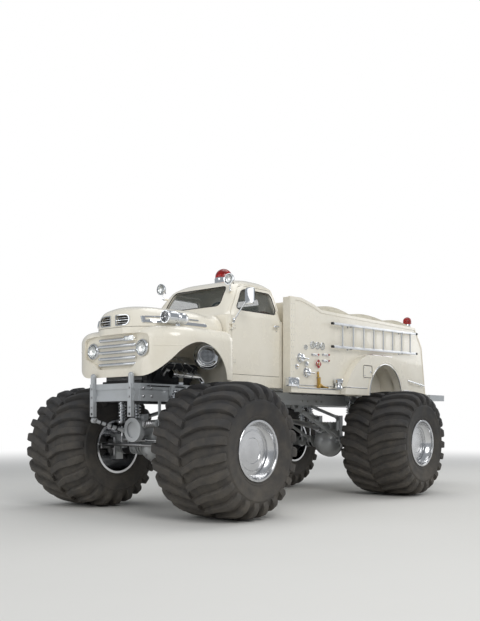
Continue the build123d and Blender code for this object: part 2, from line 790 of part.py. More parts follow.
# Door outline, seen from the side: forward of the front axle and above the rails
door_front_x = front_axle_x - 643
door_outline = ((-643, 160), (-643, 935), (-960, 1385), (-1640, 1385), (-1690, 950), (-1685, 160))
window_outline = ((-765, 1030), (-980, 1335), (-1592, 1335), (-1630, 1040))


def door_face(points, head_radius, grow):
    """A closed outline on the truck's middle plane, from a side table, grown by an amount."""
    with BuildSketch(Plane.XZ) as face:
        Polygon(*[(front_axle_x + x, rail_top_z + z) for x, z in points], align=None)
        head = face.vertices().group_by(Axis.Y)[-1]
        fillet(face.vertices() - head, radius=24)
        head = face.vertices().group_by(Axis.Y)[-1]
        fillet(head, radius=head_radius)
        if grow:
            offset(amount=grow)
    return face.sketch


door_head_radius = 110
window_head_radius = 70
door_pivot_x = door_front_x + 8
door_pivot_y = cab_half_width + 20
door_hinge_z = (rail_top_z + 330, rail_top_z + 790)
door_handle_x = front_axle_x - 1567
door_handle_z = rail_top_z + 863
# The stub on each windshield post that carries a spot lamp
lamp_foot_x = front_axle_x - 862
lamp_foot_y = 585
lamp_foot_z = rail_top_z + 1300
lamp_top_x = front_axle_x - 800
lamp_top_y = 632
windshield_z = (rail_top_z + 1095, rail_top_z + 1385)
windshield_half = (525, 492)  # at the sill and at the head
windshield_corner = 65
rear_window = (360, rail_top_z + 1100, rail_top_z + 1330)  # half-width, sill, head


def windshield_face(shrink):
    """The windshield's outline on a plane across the truck, smaller by an amount."""
    sill, head = windshield_z
    wide, narrow = windshield_half
    with BuildSketch(Plane.YZ) as face:
        Polygon((-wide, sill), (wide, sill), (narrow, head), (-narrow, head), align=None)
        fillet(face.vertices(), radius=windshield_corner)
        if shrink:
            offset(amount=-shrink)
    return face.sketch


with BuildPart() as cab:
    add(cab_skin)
    # the cowl carries the hood's section back to the windshield
    cowl = hood_section(cab_front_x, hood_rear_half, hood_rear_z, hood_rear_z - cowl_height, hood_shoulder)
    extrude(cowl, amount=-cowl_length)
    add(cab_room, mode=Mode.SUBTRACT)
    opening = door_face(door_outline, door_head_radius, panel_gap)
    extrude(opening, amount=cab_half_width + 50, both=True, mode=Mode.SUBTRACT)
    extrude(windshield_face(0).moved(Location((cab_front_x, 0, 0))), amount=-700, mode=Mode.SUBTRACT)
    with BuildSketch(Plane.YZ.offset(cab_rear_x - 10)):
        with Locations((0, (rear_window[1] + rear_window[2]) / 2)):
            RectangleRounded(2 * rear_window[0], rear_window[2] - rear_window[1], 60)
    extrude(amount=200, mode=Mode.SUBTRACT)
    for side in (-1, 1):
        for z in door_hinge_z:
            for end in (-1, 1):
                lug_z = sorted((z + end * 25, z + end * 41))
                disc((door_pivot_x, side * door_pivot_y, sum(lug_z) / 2), "Z", 12, 16)
                lug_y = sorted((side * (cab_half_width - 20), side * (door_pivot_y + 12)))
                slab((door_pivot_x, door_pivot_x + 45), lug_y, lug_z)
            disc((door_pivot_x, side * door_pivot_y, z), "Z", 6, 60)
        bar((lamp_foot_x, side * lamp_foot_y, lamp_foot_z), (lamp_top_x, side * lamp_top_y, lamp_foot_z), 14)
    # pockets and pins of the hood's hinges
    for side in (-1, 1):
        pocket = (side * hood_hinge_y - 26, side * hood_hinge_y + 26)
        slab((hinge_x - 22, cab_front_x + 1), pocket, (hinge_z - 30, hinge_z + 80), Mode.SUBTRACT)
        disc((hinge_x, side * hood_hinge_y, hinge_z), "Y", 7, 60)
cab.part.label = "cab"
export_step(cab.part, "parts/cab.step")


def door(side):
    """A door as thick as the cab's wall, with its window cut."""
    add(cab_skin)
    add(cab_room, mode=Mode.SUBTRACT)
    reach = side * -(cab_half_width + 50)
    extrude(door_face(door_outline, door_head_radius, 0), amount=reach, mode=Mode.INTERSECT)
    extrude(door_face(window_outline, window_head_radius, 0), amount=reach, mode=Mode.SUBTRACT)
    leaf = sorted((side * (cab_half_width - 2), side * (cab_half_width + 12)))
    for z in door_hinge_z:
        slab((door_pivot_x - 75, door_pivot_x - 6), leaf, (z - 24, z + 24))
        disc((door_pivot_x, side * door_pivot_y, z), "Z", 12, 48)
        disc((door_pivot_x, side * door_pivot_y, z), "Z", 6 + pin_play, 50, Mode.SUBTRACT)
    grip = sorted((side * (cab_half_width + 28), side * (cab_half_width + 44)))
    slab((door_handle_x - 60, door_handle_x + 60), grip, (door_handle_z - 12, door_handle_z + 12))
    post = sorted((side * (cab_half_width - 2), side * (cab_half_width + 30)))
    slab((door_handle_x - 58, door_handle_x - 30), post, (door_handle_z - 12, door_handle_z + 12))


with BuildPart() as door_left:
    door(1)
door_left.part.label = "door_left"
export_step(door_left.part, "parts/door_left.step")
with BuildPart() as door_right:
    door(-1)
door_right.part.label = "door_right"
export_step(door_right.part, "parts/door_right.step")

# Glass, cut from a thin shell that follows the cab's outside
glass_skin = cab_form(17)
glass_core = cab_form(23)

with BuildSketch(Plane.YZ.offset(cab_rear_x - 10)) as rear_opening:
    with Locations((0, (rear_window[1] + rear_window[2]) / 2)):
        RectangleRounded(2 * rear_window[0] - 1, rear_window[2] - rear_window[1] - 1, 60)
with BuildPart() as cab_glass:
    add(glass_skin)
    add(glass_core, mode=Mode.SUBTRACT)
    with BuildPart(mode=Mode.PRIVATE) as openings:
        extrude(windshield_face(0.5).moved(Location((cab_front_x, 0, 0))), amount=-700)
        extrude(rear_opening.sketch, amount=200)
    add(openings.part, mode=Mode.INTERSECT)
cab_glass.part.label = "cab_glass"
export_step(cab_glass.part, "parts/cab_glass.step")

for name, side in (("left", 1), ("right", -1)):
    with BuildPart() as door_glass:
        add(glass_skin)
        add(glass_core, mode=Mode.SUBTRACT)
        pane = door_face(window_outline, window_head_radius, -0.5)
        extrude(pane, amount=side * -(cab_half_width + 50), mode=Mode.INTERSECT)
    door_glass.part.label = f"door_glass_{name}"
    export_step(door_glass.part, f"parts/door_glass_{name}.step")

# Mirror on the left door's front edge, ahead of the window
mirror_x = front_axle_x - 700
mirror_z = rail_top_z + 1175
with BuildPart() as mirror_left:
    foot_x = door_front_x - 30
    foot_y = (cab_half_width + seat, cab_half_width + 12)
    slab((foot_x - 20, foot_x + 20), foot_y, (rail_top_z + 840, rail_top_z + 900))
    start = (foot_x, cab_half_width + 8, rail_top_z + 870)
    bar(start, (mirror_x - 12, 1040, mirror_z), 9)
    with BuildSketch(Plane.YZ.offset(mirror_x - 14)):
        with Locations((1055, mirror_z)):
            RectangleRounded(190, 230, 35)
    extrude(amount=28)
mirror_left.part.label = "mirror_left"
export_step(mirror_left.part, "parts/mirror_left.step")

# Cab inside: bench, dashboard, steering wheel
room_floor_z = body_z + 30
cushion_x = (front_axle_x - 1590, front_axle_x - 1070)
cushion_half = 640
cushion_top_z = rail_top_z + 430
back_half = 300
back_y = 322
back_thick = 145
back_top_z = rail_top_z + 1130
with BuildPart() as bench_seat:
    slab(cushion_x, (-cushion_half, cushion_half), (room_floor_z + seat, cushion_top_z))
    for side in (-1, 1):
        with BuildSketch(Plane.YZ.offset(cushion_x[0] - back_thick)):
            with Locations((side * back_y, (room_floor_z + back_top_z) / 2)):
                RectangleRounded(2 * back_half, back_top_z - room_floor_z - 2 * seat, 120)
        extrude(amount=back_thick - seat)
bench_seat.part.label = "bench_seat"
export_step(bench_seat.part, "parts/bench_seat.step")

dash_front_x = cab_front_x - cab_wall - seat
dash_depth = 150
dash_half = 730
with BuildPart() as dashboard:
    dash_span = (-dash_half, dash_half)
    slab((dash_front_x - dash_depth, dash_front_x), dash_span, (rail_top_z + 780, rail_top_z + 940))
    fillet(dashboard.edges().filter_by(Axis.Y).group_by(Axis.X)[0], radius=35)
dashboard.part.label = "dashboard"
export_step(dashboard.part, "parts/dashboard.step")

helm_y = 370
helm = (front_axle_x - 960, helm_y, rail_top_z + 990)
column_x = dash_front_x - dash_depth - seat
column_z = rail_top_z + 860
with BuildPart() as steering_wheel:
    disc((column_x - 8, helm_y, column_z), "X", 30, 16)
    column = Vector(*helm) - Vector(column_x - 8, helm_y, column_z)
    bar((column_x - 10, helm_y, column_z), helm, 19)
    with Locations(Plane(origin=helm, z_dir=column)):
        Torus(205, 13)
        Cylinder(50, 30)
        Box(400, 24, 12)
        Box(24, 400, 12)
steering_wheel.part.label = "steering_wheel"
export_step(steering_wheel.part, "parts/steering_wheel.step")

# Spot lamps on the windshield posts
spot_radius = 80
spot_x = front_axle_x - 740
spot_y = 655
spot_z = rail_top_z + 1444
with BuildPart() as spot_lamps:
    for side in (-1, 1):
        run = Vector(lamp_top_x - lamp_foot_x, side * (lamp_top_y - lamp_foot_y), 0).normalized()
        foot = Vector(lamp_top_x, side * lamp_top_y, lamp_foot_z) + run * seat
        knee = foot + run * 16
        bar(tuple(foot), tuple(knee), 14)
        bar(tuple(knee - run * 4), (spot_x - 45, side * spot_y, spot_z), 9)
        disc((spot_x - 12, side * spot_y, spot_z), "X", spot_radius, 24)
        with Locations(Location((spot_x - 24, side * spot_y, spot_z), (0, -90, 0))):
            Cone(spot_radius - 6, 22, 58, align=(Align.CENTER, Align.CENTER, Align.MIN))
spot_lamps.part.label = "spot_lamps"
export_step(spot_lamps.part, "parts/spot_lamps.step")

# Siren on the left fender, mouth forward
siren_x = front_axle_x + 550  # mouth
siren_y = 752
siren_z = fender_top_z + 100
# Half its outline, from the mouth back: distance behind the mouth, radius
siren_outline = ((0, 0), (0, 82), (150, 84), (180, 70), (200, 76), (300, 74))
with BuildPart() as siren:
    with BuildSketch(Plane((siren_x, siren_y, siren_z), x_dir=(-1, 0, 0), z_dir=(0, 1, 0))):
        with BuildLine():
            Polyline(*siren_outline)
            ThreePointArc((300, 74), (370, 50), (400, 8))
            Polyline((400, 8), (400, 0), (0, 0))
        make_face()
    revolve(axis=Axis((siren_x, siren_y, siren_z), (1, 0, 0)))
    foot_y = (siren_y - 26, siren_y + 26)
    slab((siren_x - 260, siren_x - 190), foot_y, (fender_top_z + seat, siren_z - 40))
siren.part.label = "siren"
export_step(siren.part, "parts/siren.step")

# Hood trim: a pair of spears with a hooked front end along each side and a frame round each vent,
# all cut from a thin skin over the hood
trim_skin = hood_form(-10)
trim_core = hood_form(-seat)
spear_low = (-270, 590, 748, 786)  # rear, front, bottom, top
spear_high = (-150, 590, 818, 834)
spear_hook = (590, 612, 748, 834)


def side_patch(limits, corner):
    """A rounded rectangle seen from the side: rear, front, bottom, top, then its corner radius."""
    rear, front, bottom, top = limits
    with BuildSketch(Plane.XZ) as face:
        with Locations((front_axle_x + (rear + front) / 2, rail_top_z + (bottom + top) / 2)):
            RectangleRounded(front - rear, top - bottom, corner)
    return face.sketch


with BuildPart() as hood_trim:
    with BuildPart(mode=Mode.PRIVATE) as patches:
        for limits, corner in ((spear_low, 18), (spear_high, 7), (spear_hook, 10)):
            extrude(side_patch(limits, corner), amount=hood_rear_half + 50, both=True)
        for side in (-1, 1):
            for grow, mode in ((vent_frame, Mode.ADD), (0, Mode.SUBTRACT)):
                outline = vent_face(side, grow).moved(Location((vent_back_x, 0, 0)))
                extrude(outline, amount=vent_cut, mode=mode)
    add(trim_skin)
    add(trim_core, mode=Mode.SUBTRACT)
    add(patches.part, mode=Mode.INTERSECT)
hood_trim.part.label = "hood_trim"
export_step(hood_trim.part, "parts/hood_trim.step")

# Air cleaner drum on the cowl, seen through the left arch, and the open exhaust on the rail
drum_centre = Vector(front_axle_x - 385, 600, rail_top_z + 390)
drum_axis = Vector(0.75, 0.66, 0).normalized()
drum_radius = 185
drum_half = 75
with BuildPart() as air_cleaner:
    with BuildSketch(Plane(origin=drum_centre - drum_axis * drum_half, z_dir=drum_axis)):
        Circle(drum_radius)
    extrude(amount=2 * drum_half)
    fillet(air_cleaner.edges().sort_by(lambda edge: edge.center().dot(drum_axis))[-1], radius=45)
    with BuildSketch(Plane(origin=drum_centre + drum_axis * (drum_half - 1), z_dir=drum_axis)):
        Circle(96)
    extrude(amount=22)
    low_corner = rail_top_z + 330
    slab((cab_front_x + seat, front_axle_x - 430), (480, 600), (low_corner, low_corner + 120))
air_cleaner.part.label = "air_cleaner"
export_step(air_cleaner.part, "parts/air_cleaner.step")

pipe_radius = 36
with BuildPart() as exhaust:
    for side in (-1, 1):
        y = side * 490
        route = (
            (front_axle_x + 170, y, rail_top_z + 130),
            (front_axle_x - 330, y, rail_top_z + 120),
            (front_axle_x - 400, y, rail_top_z + 60),
            (front_axle_x - 410, y, rail_z + 40),
        )
        for start, end in zip(route, route[1:]):
            bar(start, end, pipe_radius)
        for knee in route[1:-1]:
            with Locations(knee):
                Sphere(pipe_radius)
        disc(route[0], "X", pipe_radius + 14, 16)
        saddle = sorted((side * (rail_inner_y + 20), side * 490))
        slab((front_axle_x - 40, front_axle_x + 40), saddle, (rail_top_z + seat, rail_top_z + 110))
exhaust.part.label = "exhaust"
export_step(exhaust.part, "parts/exhaust.step")

# Rear body: side walls, ends and floor, open at the top under its cover
bed_profile = (
    (bed_wing_x, bed_low_z),
    (bed_wing_x, rail_top_z + 1306),
    (front_axle_x - 2000, rail_top_z + 1313),
    (front_axle_x - 2323, rail_top_z + 1248),
    (front_axle_x - 2500, bed_top_z),
    (rear_axle_x - 1300, bed_top_z),
    (rear_axle_x - 1555, rail_top_z + 880),
    (rear_axle_x - 1703, rail_top_z + 23),
    (bed_rear_x, bed_low_z),
)
bed_tail = bed_profile[5:]
well_x = rear_axle_x - 70
well_radius = 570
rim_band = 45
fender_start_x = rear_axle_x + 1170
fender_end_x = rear_axle_x - 920

side_inner = bed_half_width - bed_wall
corner_inner = cab_half_width + 32
well_inner = 645
well_wall = 15
trim_out = 10  # how far the top band and the corner strip stand out

with BuildPart() as bed:
    for side in (-1, 1):
        with BuildSketch(Plane.XZ.offset(-side * side_inner)):
            Polygon(*bed_profile, align=None)
            with Locations((well_x, bed_low_z)):
                Circle(well_radius, mode=Mode.SUBTRACT)
        extrude(amount=-side * bed_wall)
        with BuildSketch(Plane.XZ.offset(-side * (bed_half_width - 2))):
            Polygon(*bed_profile, align=None)
            Polygon(*[(x, z - rim_band) for x, z in bed_profile], align=None, mode=Mode.SUBTRACT)
        extrude(amount=-side * (trim_out + 2))
        strip = sorted((side * (bed_half_width - 2), side * (bed_half_width + trim_out)))
        slab((bed_wing_x - 120, bed_wing_x), strip, (bed_low_z, rail_top_z + 1280))
        sill = sorted((side * (bed_half_width - 2), side * (bed_half_width + ledge)))
        slab((fender_start_x + seat, bed_wing_x), sill, (bed_low_z, bed_low_z + ledge_height))
        slab((bed_rear_x, fender_end_x - seat), sill, (bed_low_z, bed_low_z + ledge_height))
bed.part.label = "bed"
export_step(bed.part, "parts/bed.step")

# Bulkhead behind the cab, the two front corner boxes, and the sloping tail panel
with BuildPart() as bed_ends:
    middle = (seat - side_inner, side_inner - seat)
    slab((bed_front_x - bed_wall, bed_front_x - seat), middle, (body_z, rail_top_z + 1250))
    for side in (-1, 1):
        box_y = sorted((side * corner_inner, side * (side_inner - seat)))
        slab((bed_front_x, bed_wing_x), box_y, (bed_low_z, rail_top_z + 1300))
    with BuildSketch(Plane.XZ):
        within = [(x + bed_wall, z) for x, z in reversed(bed_tail)]
        Polygon(*bed_tail, *within, align=None)
    extrude(amount=side_inner - seat, both=True)
bed_ends.part.label = "bed_ends"
export_step(bed_ends.part, "parts/bed_ends.step")

# Wheel wells inside the body, closed on their inner side
with BuildPart() as wheel_wells:
    for side in (-1, 1):
        for radius, near, far, mode in (
            (well_radius + well_wall, well_inner, side_inner - seat, Mode.ADD),
            (well_radius, well_inner + well_wall, side_inner, Mode.SUBTRACT),
        ):
            with BuildSketch(Plane.XZ.offset(-side * near)):
                with Locations((well_x, bed_low_z)):
                    Circle(radius)
                with Locations((well_x, bed_low_z - radius)):
                    Rectangle(3 * radius, 2 * radius, mode=Mode.SUBTRACT)
            extrude(amount=-side * (far - near), mode=mode)
wheel_wells.part.label = "wheel_wells"
export_step(wheel_wells.part, "parts/wheel_wells.step")

with BuildPart() as bed_floor:
    floor_x = (rear_axle_x - 1670, bed_front_x - bed_wall - seat)
    slab(floor_x, middle, (body_z, body_z + bed_wall))
    for side in (-1, 1):
        with BuildSketch(Plane.XZ.offset(-side * (well_inner - seat))):
            with Locations((well_x, bed_low_z)):
                Circle(well_radius + well_wall + seat)
        extrude(amount=-side * bed_half_width, mode=Mode.SUBTRACT)
bed_floor.part.label = "bed_floor"
export_step(bed_floor.part, "parts/bed_floor.step")

# Hose bed cover with three low humps and a flat tail
hump_x = (front_axle_x - 2520, front_axle_x - 3420, front_axle_x - 4540, rear_axle_x - 1150)
cover_rear_x = rear_axle_x - 1290
cover_flat_z = bed_top_z + seat + 30
hump_rise = 65
with BuildPart() as bed_cover:
    low = bed_top_z + seat
    with BuildSketch(Plane.XZ):
        with BuildLine():
            for ahead, back in zip(hump_x, hump_x[1:]):
                crest = ((ahead + back) / 2, cover_flat_z + hump_rise)
                ThreePointArc((ahead, cover_flat_z), crest, (back, cover_flat_z))
            Polyline((hump_x[-1], cover_flat_z), (cover_rear_x, cover_flat_z), (cover_rear_x, low))
            Polyline((cover_rear_x, low), (hump_x[0], low), (hump_x[0], cover_flat_z))
        make_face()
    extrude(amount=bed_half_width - 12, both=True)
bed_cover.part.label = "bed_cover"
export_step(bed_cover.part, "parts/bed_cover.step")

# Rear fenders: arched boxes on the body's sides with a beaded wheel opening
arch_y = 1070
lip_outer = 560
lip_inner = 520


def fender_outline(inset):
    """The rear fender seen from the side."""
    with BuildSketch(Plane.XZ) as face:
        with BuildLine():
            start = (fender_start_x - inset, bed_low_z)
            front_top = (rear_axle_x + 470, rail_top_z + 590 - inset)
            rear_top = (rear_axle_x - 200, rail_top_z + 600 - inset)
            end = (fender_end_x + inset, bed_low_z)
            ThreePointArc(start, (rear_axle_x + 905 - inset, rail_top_z + 355), front_top)
            Line(front_top, rear_top)
            ThreePointArc(rear_top, (rear_axle_x - 660 + inset, rail_top_z + 405), end)
            Line(end, start)
        make_face()
    return face.sketch


def arched(radius):
    """The wheel opening's half circle above the body's lower edge."""
    with BuildSketch(Plane.XZ) as face:
        with Locations((well_x, bed_low_z)):
            Circle(radius)
        with Locations((well_x, bed_low_z - radius)):
            Rectangle(3 * radius, 2 * radius, mode=Mode.SUBTRACT)
    return face.sketch


with BuildPart() as rear_fenders:
    extrude(fender_outline(0), amount=arch_y, both=True)
    extrude(fender_outline(sheet), amount=arch_y - sheet, both=True, mode=Mode.SUBTRACT)
    extrude(arched(lip_outer), amount=arch_y + 8, both=True)
    extrude(arched(lip_inner), amount=arch_y + 9, both=True, mode=Mode.SUBTRACT)
    middle = bed_half_width + seat
    slab((bed_rear_x, bed_wing_x), (-middle, middle), (bed_low_z - 1, rail_top_z + 800), Mode.SUBTRACT)
    wide = arch_y + 20
    low_edge = (bed_low_z - 1, bed_low_z + 1)
    slab((well_x - lip_inner - 1, well_x + lip_inner + 1), (-wide, wide), low_edge, Mode.SUBTRACT)
rear_fenders.part.label = "rear_fenders"
export_step(rear_fenders.part, "parts/rear_fenders.step")

# Ladders on both sides
ladder_y = 1022
rail_radius = 21
ladder_x = (front_axle_x - 2694, front_axle_x - 5420)
ladder_top_z = (rail_top_z + 1006, rail_top_z + 1070)
ladder_depth = 350
rung_count = 8
with BuildPart() as ladders:
    for side in (-1, 1):
        for drop in (0, ladder_depth):
            ends = [(x, side * ladder_y, z - drop) for x, z in zip(ladder_x, ladder_top_z)]
            bar(ends[0], ends[1], rail_radius)
            for share in (0.2, 0.8):
                x = ladder_x[0] + share * (ladder_x[1] - ladder_x[0])
                z = ladder_top_z[0] + share * (ladder_top_z[1] - ladder_top_z[0]) - drop
                hook = sorted((side * (bed_half_width + seat), side * ladder_y))
                slab((x - 20, x + 20), hook, (z - 14, z + 14))
        for rung in range(rung_count):
            share = 0.11 + 0.114 * rung
            x = ladder_x[0] + share * (ladder_x[1] - ladder_x[0])
            z = ladder_top_z[0] + share * (ladder_top_z[1] - ladder_top_z[0])
            bar((x, side * ladder_y, z - ladder_depth), (x, side * ladder_y, z), 14)
ladders.part.label = "ladders"
export_step(ladders.part, "parts/ladders.step")

# Pump fittings on both sides: gauges, capped outlets, levers, valve wheel, nozzle and cap.
# Round ones: forward of the front axle, above the rails, radius, how far they stand out
round_fittings = (
    (-2106, 606, 38, 22),
    (-2277, 650, 57, 26),
    (-2406, 650, 57, 26),
    (-2535, 650, 57, 26),
    (-1967, 441, 70, 60),
    (-2122, 239, 70, 60),
    (-1889, 312, 38, 30),
    (-2406, 378, 64, 40),
)
bar_fittings = ((-1967, 441), (-2122, 239))
lever_fittings = ((-2340, 509), (-2620, 526), (-2620, 435))
lever_half = (90, 17)
with BuildPart() as pump_fittings:
    for side in (-1, 1):
        base = side * (bed_half_width + seat)
        for x, z, radius, out in round_fittings:
            centre = (front_axle_x + x, base + side * out / 2, rail_top_z + z)
            disc(centre, "Y", radius, out)
        for x, z in bar_fittings:
            y = base + side * 66
            bar((front_axle_x + x - 140, y, rail_top_z + z), (front_axle_x + x + 140, y, rail_top_z + z), 13)
        box_y = sorted((base, base + side * 40))
        slab((front_axle_x - 2145, front_axle_x - 2075), box_y, (rail_top_z + 335, rail_top_z + 395))
        for ahead, up in lever_fittings:
            x = front_axle_x + ahead
            z = rail_top_z + up
            slab((x - lever_half[0], x + lever_half[0]), box_y, (z - lever_half[1], z + lever_half[1]))
        ledge_top = bed_low_z + ledge_height + seat
        cap_y = side * (bed_half_width + 90)
        slab((front_axle_x - 2560, front_axle_x - 2440), box_y, (ledge_top, ledge_top + 250))
        disc((front_axle_x - 2880, cap_y, ledge_top + 80), "Z", 80, 160)
        step_y = sorted((base + side * 10, base + side * 70))
        slab((front_axle_x - 1868, front_axle_x - 1610), step_y, (ledge_top, ledge_top + 130))
pump_fittings.part.label = "pump_fittings"
export_step(pump_fittings.part, "parts/pump_fittings.step")

# Grab rails behind the rear fenders
with BuildPart() as grab_rails:
    for side in (-1, 1):
        y = side * (bed_half_width + 46)
        bar((rear_axle_x - 960, y, rail_top_z + 235), (rear_axle_x - 1560, y, rail_top_z + 165), 15)
        for x, z in ((rear_axle_x - 980, rail_top_z + 233), (rear_axle_x - 1540, rail_top_z + 167)):
            stand = sorted((side * (bed_half_width + seat), y))
            slab((x - 12, x + 12), stand, (z - 12, z + 12))
grab_rails.part.label = "grab_rails"
export_step(grab_rails.part, "parts/grab_rails.step")

# Tailboard across the back, with its lamps
with BuildPart() as tailboard:
    slab((tail_x + 15, bed_rear_x - seat), (-1050, 1050), (rail_top_z - 100, rail_top_z + 4))
    fillet(tailboard.edges().filter_by(Axis.Z).group_by(Axis.X)[0], radius=90)
tailboard.part.label = "tailboard"
export_step(tailboard.part, "parts/tailboard.step")

with BuildPart() as rear_lamps:
    for side in (-1, 1):
        disc((tail_x + 7.5, side * 820, rail_top_z - 48), "X", 40, 15 - 2 * seat)
rear_lamps.part.label = "rear_lamps"
export_step(rear_lamps.part, "parts/rear_lamps.step")

# Beacons: a large one on the roof, a small one on each rear corner of the cover.
# Each: forward of the front axle, left of the middle, foot, radius, height
beacon_places = (
    (-1390, 0, roof_z + seat, 134, 166),
    (-5382, 860, cover_flat_z + seat, 58, 150),
    (-5382, -860, cover_flat_z + seat, 58, 150),
)
with BuildPart() as beacons:
    for ahead, y, foot_z, radius, height in beacon_places:
        x = front_axle_x + ahead
        with BuildSketch(Plane((x, y, foot_z), x_dir=(1, 0, 0), z_dir=(0, -1, 0))):
            with BuildLine():
                Polyline((0, height), (0, 0), (radius, 0), (radius, 20), (radius - 8, height - radius + 8))
                ThreePointArc(
                    (radius - 8, height - radius + 8),
                    (0.7071 * (radius - 8) + 2, height - 0.2929 * (radius - 8)),
                    (8, height),
                )
                Line((8, height), (0, height))
            make_face()
        revolve(axis=Axis((x, y, 0), (0, 0, 1)))
beacons.part.label = "beacons"
export_step(beacons.part, "parts/beacons.step")
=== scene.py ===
"""Looks of a monster truck with a vintage fire engine body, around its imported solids.

Metres, +X forward, +Y to the driver's left, +Z up, as in the solids. What is given to at() is in millimetres, and
so are the sizes of the classes that place their parts with it.
"""

import logging
from dataclasses import dataclass, field
from enum import Enum, IntEnum
from math import copysign, cos, dist, pi, radians, sin, sqrt, tau
from typing import Any, Iterable, Sequence

import bmesh
import bpy
from mathutils import Matrix, Vector
from mathutils.bvhtree import BVHTree


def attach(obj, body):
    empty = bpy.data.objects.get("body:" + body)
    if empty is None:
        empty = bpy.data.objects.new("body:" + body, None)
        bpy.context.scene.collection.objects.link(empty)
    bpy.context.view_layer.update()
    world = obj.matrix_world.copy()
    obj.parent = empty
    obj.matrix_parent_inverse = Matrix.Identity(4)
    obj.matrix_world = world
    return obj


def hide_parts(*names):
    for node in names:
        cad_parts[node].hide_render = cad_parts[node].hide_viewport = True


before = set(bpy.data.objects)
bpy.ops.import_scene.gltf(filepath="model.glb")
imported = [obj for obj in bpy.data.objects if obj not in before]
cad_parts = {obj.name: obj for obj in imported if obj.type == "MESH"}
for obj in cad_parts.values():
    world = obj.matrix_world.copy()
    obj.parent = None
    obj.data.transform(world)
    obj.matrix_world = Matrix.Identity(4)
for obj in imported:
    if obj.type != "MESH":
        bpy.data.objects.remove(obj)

log = logging.getLogger("scene")
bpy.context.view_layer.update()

MM = 0.001
Point = tuple[float, float, float]

# Places of the truck that many pieces share
FRONT_AXLE_X = 2.847
WHEELBASE = 4160.0  # in millimetres
REAR_AXLE_X = FRONT_AXLE_X - WHEELBASE * MM
AXLE_Z = 0.838
TYRE_Y = 1.2535
RAIL_TOP = AXLE_Z + 0.822
CLEAR = 1300.0  # millimetres left or right of the middle, clear of the body: lines drop onto it from here
FORE, LEFT, UP = Vector((1, 0, 0)), Vector((0, 1, 0)), Vector((0, 0, 1))
# the six faces between a box's eight corners
BOX_FACES = ((0, 1, 2, 3), (7, 6, 5, 4), (0, 4, 5, 1), (1, 5, 6, 2), (2, 6, 7, 3), (3, 7, 4, 0))


class Body(str, Enum):
    """The rigid bodies that pieces ride on."""

    CHASSIS = "chassis"
    LEFT_STEERING = "left_steering"
    RIGHT_STEERING = "right_steering"
    TRACK_ROD = "track_rod"
    RAM_ROD = "ram_rod"
    LEFT_DOOR = "left_door"
    RIGHT_DOOR = "right_door"
    HOOD = "hood_lid"
    FRONT_LEFT = "front_left_wheel"
    FRONT_RIGHT = "front_right_wheel"
    REAR_LEFT = "rear_left_wheel"
    REAR_RIGHT = "rear_right_wheel"


class Side(IntEnum):
    """The truck's sides, with the sign of Y."""

    LEFT = 1
    RIGHT = -1

    @property
    def label(self) -> str:
        """Gives the side's name as it stands in the names of pieces."""
        return self.name.lower()

    @property
    def door(self) -> Body:
        """Gives the body of the side's door."""
        return Body(f"{self.label}_door")


def linear(code: str) -> tuple[float, float, float, float]:
    """Turns an sRGB hex colour to linear.

    Args:
        code: Six hex digits.

    Returns:
        Red, green, blue and an alpha of 1.
    """
    shares = [int(code[i : i + 2], 16) / 255 for i in (0, 2, 4)]
    red, green, blue = (part / 12.92 if part <= 0.04045 else ((part + 0.055) / 1.055) ** 2.4 for part in shares)
    return (red, green, blue, 1.0)


def at(ahead: float, left: float, up: float) -> Vector:
    """Gives a place from millimetres forward of the front axle, left of the middle and above the rails."""
    return Vector((FRONT_AXLE_X + ahead * MM, left * MM, RAIL_TOP + up * MM))


def add_node(tree: bpy.types.NodeTree, kind: str, inputs: dict[Any, Any] | None = None, **settings: Any) -> Any:
    """Adds one node with its settings and links.

    Args:
        tree: The node tree.
        kind: The node's type name, after ShaderNode.
        inputs: For each input's name or number, a value or the output socket that feeds it.
        **settings: The node's own properties.

    Returns:
        The new node.
    """
    node = tree.nodes.new(f"ShaderNode{kind}")
    for name, value in settings.items():
        setattr(node, name, value)
    for key, value in (inputs or {}).items():
        if isinstance(value, bpy.types.NodeSocket):
            tree.links.new(value, node.inputs[key])
        else:
            node.inputs[key].default_value = value
    return node


